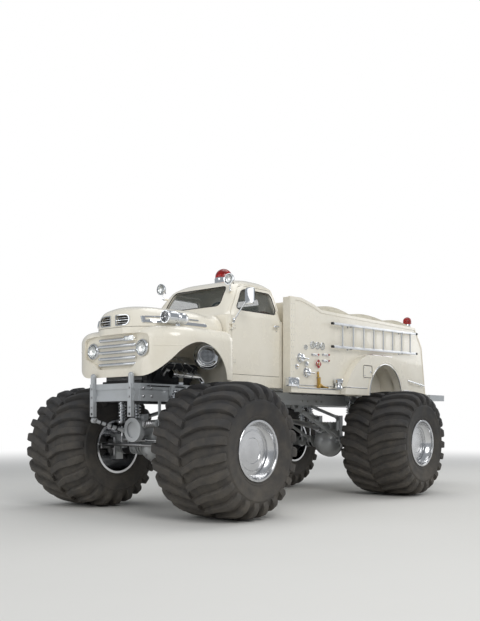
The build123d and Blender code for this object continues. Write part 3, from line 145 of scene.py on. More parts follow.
@dataclass(frozen=True)
class Finish:
    """One surface: what it is made of, its colours, and the sizes of its patterns in millimetres."""

    name: str
    colour: str
    shade: str  # the darker or dirtier colour that it drifts to
    roughness: float
    metallic: float = 0.0
    coat: float = 0.0
    drift_mm: float = 400.0  # size of the colour's slow drift
    drift: float = 0.35  # how much of the shade shows
    grain_mm: float = 6.0  # size of the bump's grain
    grain_height_mm: float = 0.05
    stretch: Point = (1.0, 1.0, 1.0)  # the grain's stretch, as in brushing
    roughness_drift: float = 0.12
    dust: float = 0.0  # dust low on the truck
    sheen: float = 0.0
    dust_top: float = 1.9  # height at which the dust is gone

    def pattern(self, tree: bpy.types.NodeTree, place: Any) -> Any:
        """Gives the height of the surface's grain, from 0 to 1.

        Args:
            tree: The material's node tree.
            place: The output socket with the place on the piece, in metres.

        Returns:
            An output socket.
        """
        grain = add_node(tree, "TexNoise", {"Vector": place, "Scale": 1 / (self.grain_mm * MM),
                                            "Detail": 3.0, "Roughness": 0.55})
        return grain.outputs["Fac"]

    def tint(self, tree: bpy.types.NodeTree, place: Any, drift: Any) -> Any:
        """Gives the surface's colour.

        Args:
            tree: The material's node tree.
            place: The output socket with the place on the piece, in metres; not used.
            drift: The output socket of the slow drift.

        Returns:
            An output socket.
        """
        amount = add_node(tree, "MapRange", {"Value": drift, "From Min": 0.42, "From Max": 0.72, "To Max": self.drift})
        mixed = add_node(tree, "Mix", {"Factor": amount.outputs["Result"], "A": linear(self.colour),
                                       "B": linear(self.shade)}, data_type="RGBA")
        return mixed.outputs["Result"]

    def surface(self, shader: Any) -> None:
        """Sets what is the same all over, on the shader's own sockets.

        Args:
            shader: The material's shader node.
        """
        shader.inputs["Metallic"].default_value = self.metallic
        shader.inputs["Coat Weight"].default_value = self.coat
        shader.inputs["Coat Roughness"].default_value = 0.06
        shader.inputs["Sheen Weight"].default_value = self.sheen

    def material(self) -> bpy.types.Material:
        """Makes the material once, and gives it again after that.

        Returns:
            The material.
        """
        known = bpy.data.materials.get(self.name)
        if known:
            return known
        made = bpy.data.materials.new(self.name)
        made.use_nodes = True
        tree = made.node_tree
        shader = tree.nodes["Principled BSDF"]
        coordinates = add_node(tree, "TexCoord")
        place = coordinates.outputs["Object"]
        stretched = add_node(tree, "Mapping", {"Vector": place, "Scale": self.stretch})
        drift = add_node(tree, "TexNoise", {"Vector": place, "Scale": 1 / (self.drift_mm * MM),
                                            "Detail": 5.0, "Roughness": 0.6})
        colour = self.tint(tree, place, drift.outputs["Fac"])
        if self.dust:
            height = add_node(tree, "SeparateXYZ", {"Vector": place})
            low = add_node(tree, "MapRange", {"Value": height.outputs["Z"], "From Min": self.dust_top,
                                              "From Max": 0.2, "To Max": self.dust})
            speckle = add_node(tree, "Math", {0: low.outputs["Result"], 1: drift.outputs["Fac"]}, operation="MULTIPLY")
            dusted = add_node(tree, "Mix", {"Factor": speckle.outputs["Value"], "A": colour,
                                            "B": linear("8c8375")}, data_type="RGBA")
            colour = dusted.outputs["Result"]
        tree.links.new(colour, shader.inputs["Base Color"])
        gloss = add_node(tree, "MapRange", {"Value": drift.outputs["Fac"], "From Min": 0.3, "From Max": 0.7,
                                            "To Min": max(0.02, self.roughness - self.roughness_drift / 2),
                                            "To Max": min(1.0, self.roughness + self.roughness_drift / 2)})
        tree.links.new(gloss.outputs["Result"], shader.inputs["Roughness"])
        if self.grain_height_mm:
            bump = add_node(tree, "Bump", {"Height": self.pattern(tree, stretched.outputs["Vector"]),
                                           "Strength": 1.0, "Distance": self.grain_height_mm * MM})
            tree.links.new(bump.outputs["Normal"], shader.inputs["Normal"])
        self.surface(shader)
        return made


@dataclass(frozen=True)
class WovenFinish(Finish):
    """Cloth of crossed threads."""

    def pattern(self, tree: bpy.types.NodeTree, place: Any) -> Any:
        """Gives two crossed sets of threads, as a height from 0 to 1.

        Args:
            tree: The material's node tree.
            place: The output socket with the place on the piece, in metres.

        Returns:
            An output socket.
        """
        scale = 1 / (self.grain_mm * MM) / 2
        warp, weft = (add_node(tree, "TexWave", {"Vector": place, "Scale": scale / pi * 2, "Distortion": 0.4,
                                                 "Detail": 1.0}, bands_direction=direction)
                      for direction in ("X", "Y"))
        crossed = add_node(tree, "Math", {0: warp.outputs["Fac"], 1: weft.outputs["Fac"]}, operation="ADD")
        return crossed.outputs["Value"]


@dataclass(frozen=True)
class HideFinish(Finish):
    """Leather, with its pebbled grain."""

    def pattern(self, tree: bpy.types.NodeTree, place: Any) -> Any:
        """Gives rounded cells, as a height from 0 to 1.

        Args:
            tree: The material's node tree.
            place: The output socket with the place on the piece, in metres.

        Returns:
            An output socket.
        """
        cells = add_node(tree, "TexVoronoi", {"Vector": place, "Scale": 1 / (self.grain_mm * MM)}, feature="SMOOTH_F1")
        return cells.outputs["Distance"]


@dataclass(frozen=True)
class FlutedFinish(Finish):
    """Glass or clear plastic that lets light through, with moulded flutes where it has any."""

    see_through: float = 1.0

    def pattern(self, tree: bpy.types.NodeTree, place: Any) -> Any:
        """Gives upright flutes, as a height from 0 to 1.

        Args:
            tree: The material's node tree.
            place: The output socket with the place on the piece, in metres.

        Returns:
            An output socket.
        """
        flutes = add_node(tree, "TexWave", {"Vector": place, "Scale": 1 / (self.grain_mm * MM) / pi,
                                            "Distortion": 0.0}, bands_direction="Y")
        return flutes.outputs["Fac"]

    def surface(self, shader: Any) -> None:
        """Lets light through.

        Args:
            shader: The material's shader node.
        """
        super().surface(shader)
        shader.inputs["Transmission Weight"].default_value = self.see_through
        shader.inputs["IOR"].default_value = 1.5


@dataclass(frozen=True)
class PaneFinish(Finish):
    """A thin clear pane, which shows mostly what lies behind it."""

    veil: float = 0.2  # how much of the pane's own tint and shine shows

    def surface(self, shader: Any) -> None:
        """Lets most of what lies behind show, and doubles the shine of what is left.

        Args:
            shader: The material's shader node.
        """
        super().surface(shader)
        shader.inputs["Alpha"].default_value = self.veil
        shader.inputs["Specular IOR Level"].default_value = 1.0
        shader.inputs["IOR"].default_value = 1.5


# Stoved enamel, sprayed: soft gloss with a faint orange peel, drawn coarser than the real 2 mm to show
BODY_ENAMEL = Finish("sprayed_enamel_ivory", "efe9da", "dcd3bd", 0.26, coat=0.6, grain_mm=14, grain_height_mm=0.03,
                     dust=0.35, dust_top=2.3)
# Two-pack chassis paint, sprayed over welded steel: satin, a little lumpy, drawn at 9 mm to show
CHASSIS_PAINT = Finish("sprayed_chassis_silver", "b9bdc0", "989c9e", 0.34, metallic=0.35, coat=0.25,
                       grain_mm=9, grain_height_mm=0.06, dust=0.8)
# Alkyd paint, brushed on by hand: dull grey, its brush marks drawn at 7 mm to show
RUNNING_GEAR = Finish("brushed_on_grey_paint", "4a4c50", "35363a", 0.5, metallic=0.2, grain_mm=7,
                      grain_height_mm=0.12, dust=0.6)
# Turned and ground steel: rings from the tool, drawn at 3 mm to show, and a film of oil
MACHINED_STEEL = Finish("machined_steel", "b4b5b7", "8f8d8a", 0.32, metallic=1.0, grain_mm=3,
                        grain_height_mm=0.02, stretch=(1, 6, 6), dust=0.5)
# Spun aluminium, polished by hand: bright, with faint wide smears, drawn at 5 mm to show
WHEEL_ALLOY = Finish("polished_spun_aluminium", "d6d7d9", "b9bbbe", 0.2, metallic=1.0, grain_mm=5,
                     grain_height_mm=0.015, stretch=(1, 0.15, 1), dust=0.45, dust_top=1.3)
# Aluminium as extruded: satin, with draw lines along the rails, drawn at 4 mm to show
EXTRUDED_ALUMINIUM = Finish("extruded_aluminium", "cfd1d3", "aeb1b4", 0.34, metallic=1.0, grain_mm=4,
                            grain_height_mm=0.02, stretch=(0.08, 1, 1))
# Chrome plate over brass: mirror bright, with a faint bloom
CHROME = Finish("chrome_plate", "dfe1e3", "c3c6ca", 0.07, metallic=1.0, grain_mm=60,
                grain_height_mm=0.02, roughness_drift=0.06)
# Cast brass, rubbed bright: warm, browner where it tarnishes, its cast skin drawn at 5 mm to show
BRASS = Finish("cast_brass", "c9a45a", "8d6a35", 0.3, metallic=1.0, grain_mm=5, grain_height_mm=0.05)
# Grey iron, sand-cast and oiled: dark and rough, its sand grain drawn at 4 mm to show
CAST_IRON = Finish("sand_cast_iron", "3b3d41", "28282b", 0.6, metallic=0.5, grain_mm=4, grain_height_mm=0.35, dust=0.3)
# Tyre rubber, moulded: dull, with dust in the tread, its skin drawn at 7 mm to show
TYRE_RUBBER = Finish("moulded_tyre_rubber", "2b2b2d", "3d3a37", 0.78, grain_mm=7, grain_height_mm=0.25,
                     drift_mm=160, drift=0.8, dust=0.5, dust_top=1.7)
# Extruded rubber: matt black with a faint bloom, its skin drawn at 6 mm to show
RUBBER_SEAL = Finish("extruded_rubber", "18181a", "242426", 0.6, grain_mm=6, grain_height_mm=0.05)
# ABS, moulded: black with a low sheen, its eroded grain drawn at 3 mm to show
BLACK_PLASTIC = Finish("moulded_black_plastic", "1c1c1e", "29292c", 0.45, grain_mm=3, grain_height_mm=0.05)
# Enamel printed on steel, under a clear coat: flat white with a soft gloss, and no grain to see
WHITE_DIAL = Finish("printed_enamel_dial", "f2f0e8", "e3dfd2", 0.3, coat=0.8, grain_height_mm=0.0)
# Printing ink and flat black paint: dull, and no grain to see
BLACK_PAINT = Finish("black_ink", "161616", "202020", 0.5, grain_height_mm=0.0)
# Flat glass with a green cast; thin, so it is drawn as a veil over what lies behind
CLEAR_GLASS = PaneFinish("float_glass", "45524f", "3b4745", 0.03, grain_height_mm=0.0, roughness_drift=0.02, drift=0.2)
# Silvered glass, seen from its front
MIRROR_GLASS = Finish("silvered_mirror_glass", "e6eaec", "d9dfe2", 0.02, metallic=1.0,
                      grain_height_mm=0.0, roughness_drift=0.02)
# Enamel, dipped over small castings: a thick glossy red, its sags drawn at 8 mm
RED_ENAMEL = Finish("dipped_red_enamel", "a3231c", "7d1a15", 0.3, coat=0.7, grain_mm=8, grain_height_mm=0.04)
# Pressed glass: clear, with the upright flutes of a headlamp, 14 mm apart
LAMP_GLASS = FlutedFinish("pressed_lamp_glass", "f4f5f2", "e8ebe6", 0.05, grain_mm=14,
                          grain_height_mm=0.7, roughness_drift=0.03)
# Acrylic, moulded: red that lets light through, with flutes 9 mm apart
RED_GLASS = FlutedFinish("moulded_red_lens", "b3160f", "8c0f0a", 0.12, grain_mm=9, grain_height_mm=0.4,
                         see_through=0.55)
# Cotton duck, woven: threads drawn at 5 mm, as real ones of 0.8 mm would be too fine to show
CANVAS = WovenFinish("woven_cotton_duck", "cbc4b0", "aea58e", 0.88, grain_mm=5, grain_height_mm=0.5, drift_mm=300,
                     drift=0.6, sheen=0.3)
# Leather, dyed and stitched: brown with a pebbled grain, drawn at 5 mm, as a real one of 1 mm is too fine
SEAT_HIDE = HideFinish("stitched_hide", "6b3a26", "4c2718", 0.48, grain_mm=5, grain_height_mm=0.3, drift_mm=200,
                       drift=0.7, coat=0.1)


def ways(count: int, first: Vector = FORE, second: Vector = UP, start: float = 0.0) -> list[Vector]:
    """Gives directions spread evenly round a circle.

    Args:
        count: How many.
        first: The axis that the angles start from.
        second: The axis that they turn to.
        start: The first one's angle, in radians.

    Returns:
        The directions.
    """
    angles = [start + tau * i / count for i in range(count)]
    return [first * cos(a) + second * sin(a) for a in angles]


def dome(foot: float, rise: float, radius: float, steps: int) -> list[tuple[float, float]]:
    """Gives a lathe's profile from the top of a dome to its foot.

    Args:
        foot: The foot's distance along the axis.
        rise: The dome's height.
        radius: The foot's radius.
        steps: Segments of the profile.

    Returns:
        Distance along the axis and radius, point by point.
    """
    angles = [pi / 2 * i / steps for i in range(steps + 1)]
    return [(foot + rise * cos(a), radius * sin(a)) for a in angles]


def rectangle(wide: float, high: float, radius: float, steps: int) -> list[tuple[float, float]]:
    """Gives a rounded rectangle about the middle.

    Args:
        wide: Half its width.
        high: Half its height.
        radius: How far from each corner the rounding starts.
        steps: Points in each rounding.

    Returns:
        The outline.
    """
    return rounded(((-wide, -high), (wide, -high), (wide, high), (-wide, high)), radius, steps)


def plane(origin: Vector, across: Vector, up: Vector, out: Vector) -> Matrix:
    """Gives the matrix of a plane that holds an outline.

    Args:
        origin: The outline's origin.
        across: The outline's X axis.
        up: The outline's Y axis.
        out: The way out of the plane.

    Returns:
        The matrix.
    """
    return Matrix.Translation(origin) @ Matrix((across, up, out)).transposed().to_4x4()


def grid(columns: int, rows: int) -> tuple[list[tuple[int, ...]], list[int]]:
    """Gives the faces between a grid's points, which are numbered column by column.

    Args:
        columns: Faces along the grid.
        rows: Faces across it.

    Returns:
        The faces, and the points round the border.
    """
    n = rows + 1
    faces = [(i * n + j, i * n + j + 1, (i + 1) * n + j + 1, (i + 1) * n + j)
             for i in range(columns) for j in range(rows)]
    border = [i * n for i in range(columns + 1)] + [columns * n + j for j in range(1, n)]
    border += [i * n + rows for i in range(columns - 1, -1, -1)] + list(range(rows - 1, 0, -1))
    return faces, border


def slab(columns: int, rows: int) -> list[tuple[int, ...]]:
    """Gives the faces of two grids of points, one over the other, and of the rim between them.

    Args:
        columns: Faces along each grid.
        rows: Faces across it.

    Returns:
        The faces.
    """
    faces, rim = grid(columns, rows)
    under = (columns + 1) * (rows + 1)
    faces += [tuple(under + k for k in reversed(face)) for face in list(faces)]
    return faces + [(a, b, under + b, under + a) for a, b in zip(rim, rim[1:] + rim[:1])]


class Shape:
    """One piece's mesh in the making, from lathed, swept, prism and block forms."""

    def __init__(self, name: str, finishes: Sequence[Finish]) -> None:
        """Starts an empty mesh.

        Args:
            name: The piece's name.
            finishes: Its finishes, chosen by number in the methods.
        """
        self.name = name
        self.finishes = list(finishes)
        self.points: list[Vector] = []
        self.faces: list[tuple[int, ...]] = []
        self.slots: list[int] = []

    def add(self, points: Iterable[Any], faces: Iterable[Sequence[int]], finish: int = 0) -> None:
        """Adds points and the faces between them.

        Args:
            points: The new points.
            faces: Faces by the new points' numbers.
            finish: The finish's number.
        """
        start = len(self.points)
        self.points += [Vector(p) for p in points]
        for face in faces:
            self.faces.append(tuple(start + i for i in face))
            self.slots.append(finish)

    def lathe(self, profile: Sequence[tuple[float, float]], origin: Any, axis: Any, steps: int = 32,
              finish: int = 0, sweep: float = tau) -> None:
        """Turns a profile round an axis.

        Args:
            profile: Distance along the axis and radius, point by point.
            origin: Where the axis starts.
            axis: Its direction.
            steps: Segments round the turn.
            finish: The finish's number.
            sweep: How far it turns.
        """
        turn = Vector(axis).to_track_quat("Z", "Y")
        closed = abs(sweep - tau) < 1e-6
        rings = steps if closed else steps + 1
        points: list[Vector] = []
        for i in range(rings):
            angle = sweep * i / steps
            for along, radius in profile:
                local = Vector((radius * cos(angle), radius * sin(angle), along))
                points.append(Vector(origin) + turn @ local)
        n = len(profile)
        faces = []
        for i in range(steps):
            near, far = i * n, (i + 1) % rings * n
            for j in range(n - 1):
                if profile[j][1] < 1e-9 and profile[j + 1][1] < 1e-9:
                    continue
                faces.append((near + j, far + j, far + j + 1, near + j + 1))
        self.add(points, faces, finish)

    def tube(self, path: Sequence[Any], radius: float | Sequence[float], sides: int = 12, closed: bool = False,
             finish: int = 0) -> None:
        """Sweeps a round section along a path, with its ends closed.

        Args:
            path: The path's points.
            radius: One radius, or one for each point.
            sides: Segments round the section.
            closed: Whether the path is a ring.
            finish: The finish's number.
        """
        line = [Vector(p) for p in path]
        count = len(line)
        radii = [radius] * count if isinstance(radius, (int, float)) else list(radius)
        points: list[Vector] = []
        across = None
        for i, centre in enumerate(line):
            ahead = line[(i + 1) % count] if closed or i + 1 < count else line[i]
            behind = line[i - 1] if closed or i > 0 else line[i]
            run = (ahead - behind).normalized()
            if across is None:
                across = run.orthogonal().normalized()
            across = (across - run * across.dot(run)).normalized()
            up = run.cross(across)
            for k in range(sides):
                angle = tau * k / sides
                points.append(centre + (across * cos(angle) + up * sin(angle)) * radii[i])
        faces: list[Sequence[int]] = []
        for i in range(count if closed else count - 1):
            near, far = i * sides, (i + 1) % count * sides
            for k in range(sides):
                faces.append((near + k, near + (k + 1) % sides, far + (k + 1) % sides, far + k))
        if not closed:
            faces.append(tuple(reversed(range(sides))))
            faces.append(tuple(range((count - 1) * sides, count * sides)))
        self.add(points, faces, finish)

    def block(self, low: Any, high: Any, bevel: float = 0.0, finish: int = 0, turn: Matrix | None = None) -> None:
        """Adds a block with rounded edges.

        Args:
            low: One corner.
            high: The corner across from it.
            bevel: The edges' radius.
            finish: The finish's number.
            turn: A turn about the block's middle.
        """
        middle = (Vector(low) + Vector(high)) / 2
        size = Vector([abs(v) for v in Vector(high) - Vector(low)])
        mesh = bmesh.new()
        bmesh.ops.create_cube(mesh, size=1.0, matrix=Matrix.Diagonal((*size, 1.0)))
        if bevel:
            bmesh.ops.bevel(mesh, geom=mesh.edges[:], offset=min(bevel, min(size) * 0.49), segments=2,
                            profile=0.7, affect="EDGES")
        rotation = turn or Matrix.Identity(3)
        mesh.verts.index_update()
        self.add([middle + rotation @ v.co for v in mesh.verts], [[v.index for v in f.verts] for f in mesh.faces],
                 finish)
        mesh.free()

    def prism(self, outline: Sequence[tuple[float, float]], place: Matrix, depth: float, bevel: float = 0.0,
              finish: int = 0) -> None:
        """Pushes a flat outline out along a plane's normal.

        Args:
            outline: The outline in the plane's own axes.
            place: The plane: its X and Y axes hold the outline, and its Z axis leads out.
            depth: How far out.
            bevel: The radius of the outer face's edge.
            finish: The finish's number.
        """
        mesh = bmesh.new()
        base = [mesh.verts.new((x, y, 0.0)) for x, y in outline]
        mesh.faces.new(base)
        pushed = bmesh.ops.extrude_face_region(mesh, geom=mesh.faces[:])
        moved = [v for v in pushed["geom"] if isinstance(v, bmesh.types.BMVert)]
        bmesh.ops.translate(mesh, vec=(0, 0, depth), verts=moved)
        if bevel:
            rim = [e for e in mesh.edges if all(v in moved for v in e.verts)]
            bmesh.ops.bevel(mesh, geom=rim, offset=bevel, segments=2, profile=0.6, affect="EDGES")
        bmesh.ops.recalc_face_normals(mesh, faces=mesh.faces[:])
        mesh.verts.index_update()
        self.add([place @ v.co for v in mesh.verts], [[v.index for v in f.verts] for f in mesh.faces], finish)
        mesh.free()

    def ring(self, centre: Any, radius: float, thick: float, first: Vector, second: Vector, steps: int = 28,
             sides: int = 6) -> None:
        """Adds a round ring.

        Args:
            centre: Its middle.
            radius: The radius of its middle line.
            thick: The radius of its section.
            first: The axis that it starts at.
            second: The axis that it turns to.
            steps: Segments round the ring.
            sides: Segments round the section.
        """
        self.tube([centre + way * radius for way in ways(steps, first, second)], thick, sides, closed=True)

    def coil(self, start: Vector, end: Vector, radius: float, wire: float, turns: int, steps: int, first: Vector,
             finish: int = 0) -> None:
        """Adds a coil spring.

        Args:
            start: The foot of its middle line.
            end: The head of its middle line.
            radius: The coil's radius.
            wire: The wire's radius.
            turns: The number of turns.
            steps: Segments in each turn.
            first: The way out to the wire's start.
            finish: The finish's number.
        """
        circle = ways(steps, first, (end - start).normalized().cross(first))
        count = turns * steps
        line = [start.lerp(end, i / count) + circle[i % steps] * radius for i in range(count + 1)]
        self.tube(line, wire, 8, finish=finish)

    def bead(self, skin: "Skin", corners: Sequence[Any], way: Any, lift: float, radius: float, sides: int = 8,
             closed: bool = False, finish: int = 0, step: float = 0.04) -> None:
        """Lays a tube along a skin, where the skin is met.

        Args:
            skin: What it lies on.
            corners: Its line's corners, clear of the skin.
            way: The direction in which the line drops.
            lift: How far the line stays off the skin.
            radius: The tube's radius.
            sides: Segments round the section.
            closed: Whether the line comes back to its start.
            finish: The finish's number.
            step: The spacing of the points that are dropped.
        """
        line = skin.trace(spread(corners, step, closed), way, lift)
        if len(line) > 2:
            self.tube(line, radius, sides, closed, finish)

    def stand(self, place: Point, side: Side) -> None:
        """Moves what is built so far to its place, and mirrors it on the right side.

        Args:
            place: The place of its middle.
            side: The truck's side.
        """
        flip = Matrix.Diagonal((1, side, 1))
        self.points = [Vector(place) + flip @ p for p in self.points]

    def bolt(self, foot: Any, axis: Any, across: float, height: float, finish: int = 0) -> None:
        """Adds a hexagon bolt head on its washer.

        Args:
            foot: Where it seats.
            axis: The way it points.
            across: The head's width across its corners.
            height: The head's height.
            finish: The finish's number.
        """
        radius = across / 2
        self.lathe(((0, radius * 1.25), (height * 0.25, radius * 1.25), (height * 0.25, 0)), foot, axis, 12, finish)
        crown = ((height * 0.2, radius), (height * 0.85, radius), (height, radius * 0.8), (height, 0))
        self.lathe(crown, foot, axis, 6, finish)

    def piece(self, body: Body, replaces: Sequence[str] = (), smooth: float = 35.0) -> bpy.types.Object:
        """Makes the object, dresses it and lets it ride.

        Args:
            body: The body that it rides on.
            replaces: The nodes that it stands for.
            smooth: Edges flatter than this many degrees are shaded smooth.

        Returns:
            The object.
        """
        mesh = bpy.data.meshes.new(self.name)
        mesh.from_pydata(self.points, [], self.faces)
        for finish in self.finishes:
            mesh.materials.append(finish.material())
        mesh.polygons.foreach_set("material_index", self.slots)
        work = bmesh.new()
        work.from_mesh(mesh)
        bmesh.ops.remove_doubles(work, verts=work.verts[:], dist=1e-5)
        bmesh.ops.dissolve_degenerate(work, edges=work.edges[:], dist=1e-6)
        bmesh.ops.recalc_face_normals(work, faces=work.faces[:])
        work.to_mesh(mesh)
        work.free()
        mesh.shade_smooth()
        mesh.set_sharp_from_angle(angle=radians(smooth))
        mesh.update()
        made = bpy.data.objects.new(self.name, mesh)
        bpy.context.scene.collection.objects.link(made)
        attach(made, body.value)
        if replaces:
            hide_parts(*replaces)
        log.info("%s: %d faces on %s", self.name, len(mesh.polygons), body.value)
        return made


class Skin:
    """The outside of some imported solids, which trim is laid on."""

    def __init__(self, *nodes: str) -> None:
        """Reads the solids' faces.

        Args:
            *nodes: The solids' names.
        """
        points: list[Vector] = []
        faces: list[tuple[int, ...]] = []
        for node in nodes:
            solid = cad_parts[node]
            start = len(points)
            points += [solid.matrix_world @ v.co for v in solid.data.vertices]
            faces += [tuple(start + i for i in f.vertices) for f in solid.data.polygons]
        self.tree = BVHTree.FromPolygons(points, faces)

    def hit(self, start: Any, way: Any) -> Vector | None:
        """Gives where a ray meets the skin.

        Args:
            start: Where the ray starts.
            way: Its direction.

        Returns:
            The place, or None where it misses.
        """
        return self.tree.ray_cast(Vector(start), Vector(way).normalized())[0]

    def trace(self, points: Iterable[Any], way: Any, lift: float = 0.0) -> list[Vector]:
        """Drops a line of points onto the skin along one direction.

        Args:
            points: The line, clear of the skin.
            way: The direction in which it drops.
            lift: How far the line stays off the skin.

        Returns:
            The points that met the skin.
        """
        found = []
        for start in points:
            place, normal, _, _ = self.tree.ray_cast(Vector(start), Vector(way).normalized())
            if place is not None:
                found.append(place + normal * lift)
        return found


def spread(corners: Sequence[Any], step: float, closed: bool = False) -> list[Vector]:
    """Puts evenly spaced points along a line of corners.

    Args:
        corners: The line's corners.
        step: The wished spacing.
        closed: Whether the line comes back to its start.

    Returns:
        The points.
    """
    line = [Vector(c) for c in corners]
    ends = line[1:] + ([line[0]] if closed else [])
    points: list[Vector] = []
    for start, end in zip(line, ends):
        count = max(1, round((end - start).length / step))
        points += [start.lerp(end, i / count) for i in range(count)]
    return points if closed else points + [line[-1]]


def rounded(corners: Sequence[tuple[float, float]], radius: float, steps: int = 5) -> list[tuple[float, float]]:
    """Rounds a flat outline's corners.

    Args:
        corners: The outline.
        radius: How far from each corner the rounding starts.
        steps: Points in each rounding.

    Returns:
        The rounded outline.
    """
    flat = [Vector(c) for c in corners]
    points: list[tuple[float, float]] = []
    for i, corner in enumerate(flat):
        back, ahead = flat[i - 1] - corner, flat[(i + 1) % len(flat)] - corner
        start = corner + back.normalized() * min(radius, back.length * 0.49)
        end = corner + ahead.normalized() * min(radius, ahead.length * 0.49)
        for k in range(steps + 1):
            t = k / steps
            points.append(tuple(start * (1 - t) ** 2 + corner * 2 * t * (1 - t) + end * t**2))
    return points


@dataclass
class Studio:
    """The floor, the light and the camera."""

    camera_place: Point = (10.052, 7.549, 1.197)
    look_turn: float = 220.1  # the camera's heading, in degrees from +X
    focal_pixels: float = 781.1
    picture: tuple[int, int] = (480, 621)
    centre_row: float = 420.6  # the picture's row that the level camera looks along
    floor_colour: str = "e4e2dd"
    floor_reach: float = 90.0
    fade: tuple[float, float] = (7.0, 22.0)  # where the floor starts to pass into the white, and where it has
    # each lamp: name, place, size, watts
    lamp_table: tuple[tuple[str, Point, float, float], ...] = (("key", (7.5, 10.0, 9.0), 6.5, 620.0),
                                                               ("fill", (12.0, -4.0, 5.0), 8.0, 200.0),
                                                               ("top", (-1.0, 0.0, 11.0), 8.0, 300.0),
                                                               ("rear", (-10.0, 4.0, 6.0), 7.0, 240.0))

    def build(self) -> None:
        """Builds them all."""
        self.floor()
        self.lamps()
        self.sky()
        self.camera()

    def floor(self) -> None:
        """Lays a wide pale floor that passes into the white backdrop far off."""
        edge = self.floor_reach
        mesh = bpy.data.meshes.new("floor")
        mesh.from_pydata([(-edge, -edge, 0), (edge, -edge, 0), (edge, edge, 0), (-edge, edge, 0)], [], [(0, 1, 2, 3)])
        floor = bpy.data.objects.new("floor", mesh)
        bpy.context.scene.collection.objects.link(floor)
        paper = Finish("matt_studio_floor", self.floor_colour, "dddbd5", 0.9, grain_mm=30, grain_height_mm=0.0,
                       drift_mm=4000).material()
        tree = paper.node_tree
        place = add_node(tree, "TexCoord").outputs["Object"]
        distance = add_node(tree, "VectorMath", {0: place}, operation="LENGTH")
        share = add_node(tree, "MapRange", {"Value": distance.outputs["Value"], "From Min": self.fade[0],
                                            "From Max": self.fade[1]}, interpolation_type="SMOOTHSTEP")
        white = add_node(tree, "Emission", {"Color": linear("ffffff"), "Strength": 1.0})
        paper_shader = tree.nodes["Principled BSDF"].outputs["BSDF"]
        mixed = add_node(tree, "MixShader", {0: share.outputs["Result"], 1: paper_shader, 2: white.outputs["Emission"]})
        tree.links.new(mixed.outputs["Shader"], tree.nodes["Material Output"].inputs["Surface"])
        mesh.materials.append(paper)

    def lamps(self) -> None:
        """Sets wide soft lamps."""
        for name, place, size, watts in self.lamp_table:
            light = bpy.data.lights.new(name, "AREA")
            light.shape = "DISK"
            light.size = size
            light.energy = watts
            lamp = bpy.data.objects.new(name, light)
            lamp.location = place
            lamp.rotation_euler = (Vector((0, 0, 1.5)) - Vector(place)).to_track_quat("-Z", "Y").to_euler()
            bpy.context.scene.collection.objects.link(lamp)

    def sky(self) -> None:
        """Sets a soft grey sky, which the camera sees as plain white."""
        world = bpy.data.worlds.new("studio_sky")
        world.use_nodes = True
        bpy.context.scene.world = world
        tree = world.node_tree
        back = tree.nodes["Background"]
        back.inputs["Color"].default_value = linear("dfe4ea")
        back.inputs["Strength"].default_value = 0.5
        white = add_node(tree, "Background", {"Color": linear("ffffff"), "Strength": 1.0})
        rays = add_node(tree, "LightPath")
        seen = add_node(tree, "Math", {0: rays.outputs["Is Camera Ray"],
                                       1: rays.outputs["Is Transmission Ray"]}, operation="MAXIMUM")
        mixed = add_node(tree, "MixShader", {0: seen.outputs["Value"], 1: back.outputs["Background"],
                                             2: white.outputs["Background"]})
        tree.links.new(mixed.outputs["Shader"], tree.nodes["World Output"].inputs["Surface"])

    def camera(self) -> None:
        """Sets the camera where the picture was drawn from."""
        data = bpy.data.cameras.new("picture_camera")
        high = self.picture[1]
        data.sensor_fit = "VERTICAL"
        data.sensor_height = 36.0
        data.lens = 36.0 * self.focal_pixels / high
        data.shift_y = (self.centre_row - high / 2) / high
        data.clip_end = 200.0
        made = bpy.data.objects.new("picture_camera", data)
        made.location = self.camera_place
        made.rotation_euler = (pi / 2, 0.0, radians(self.look_turn - 90))
        bpy.context.scene.collection.objects.link(made)
        bpy.context.scene.camera = made


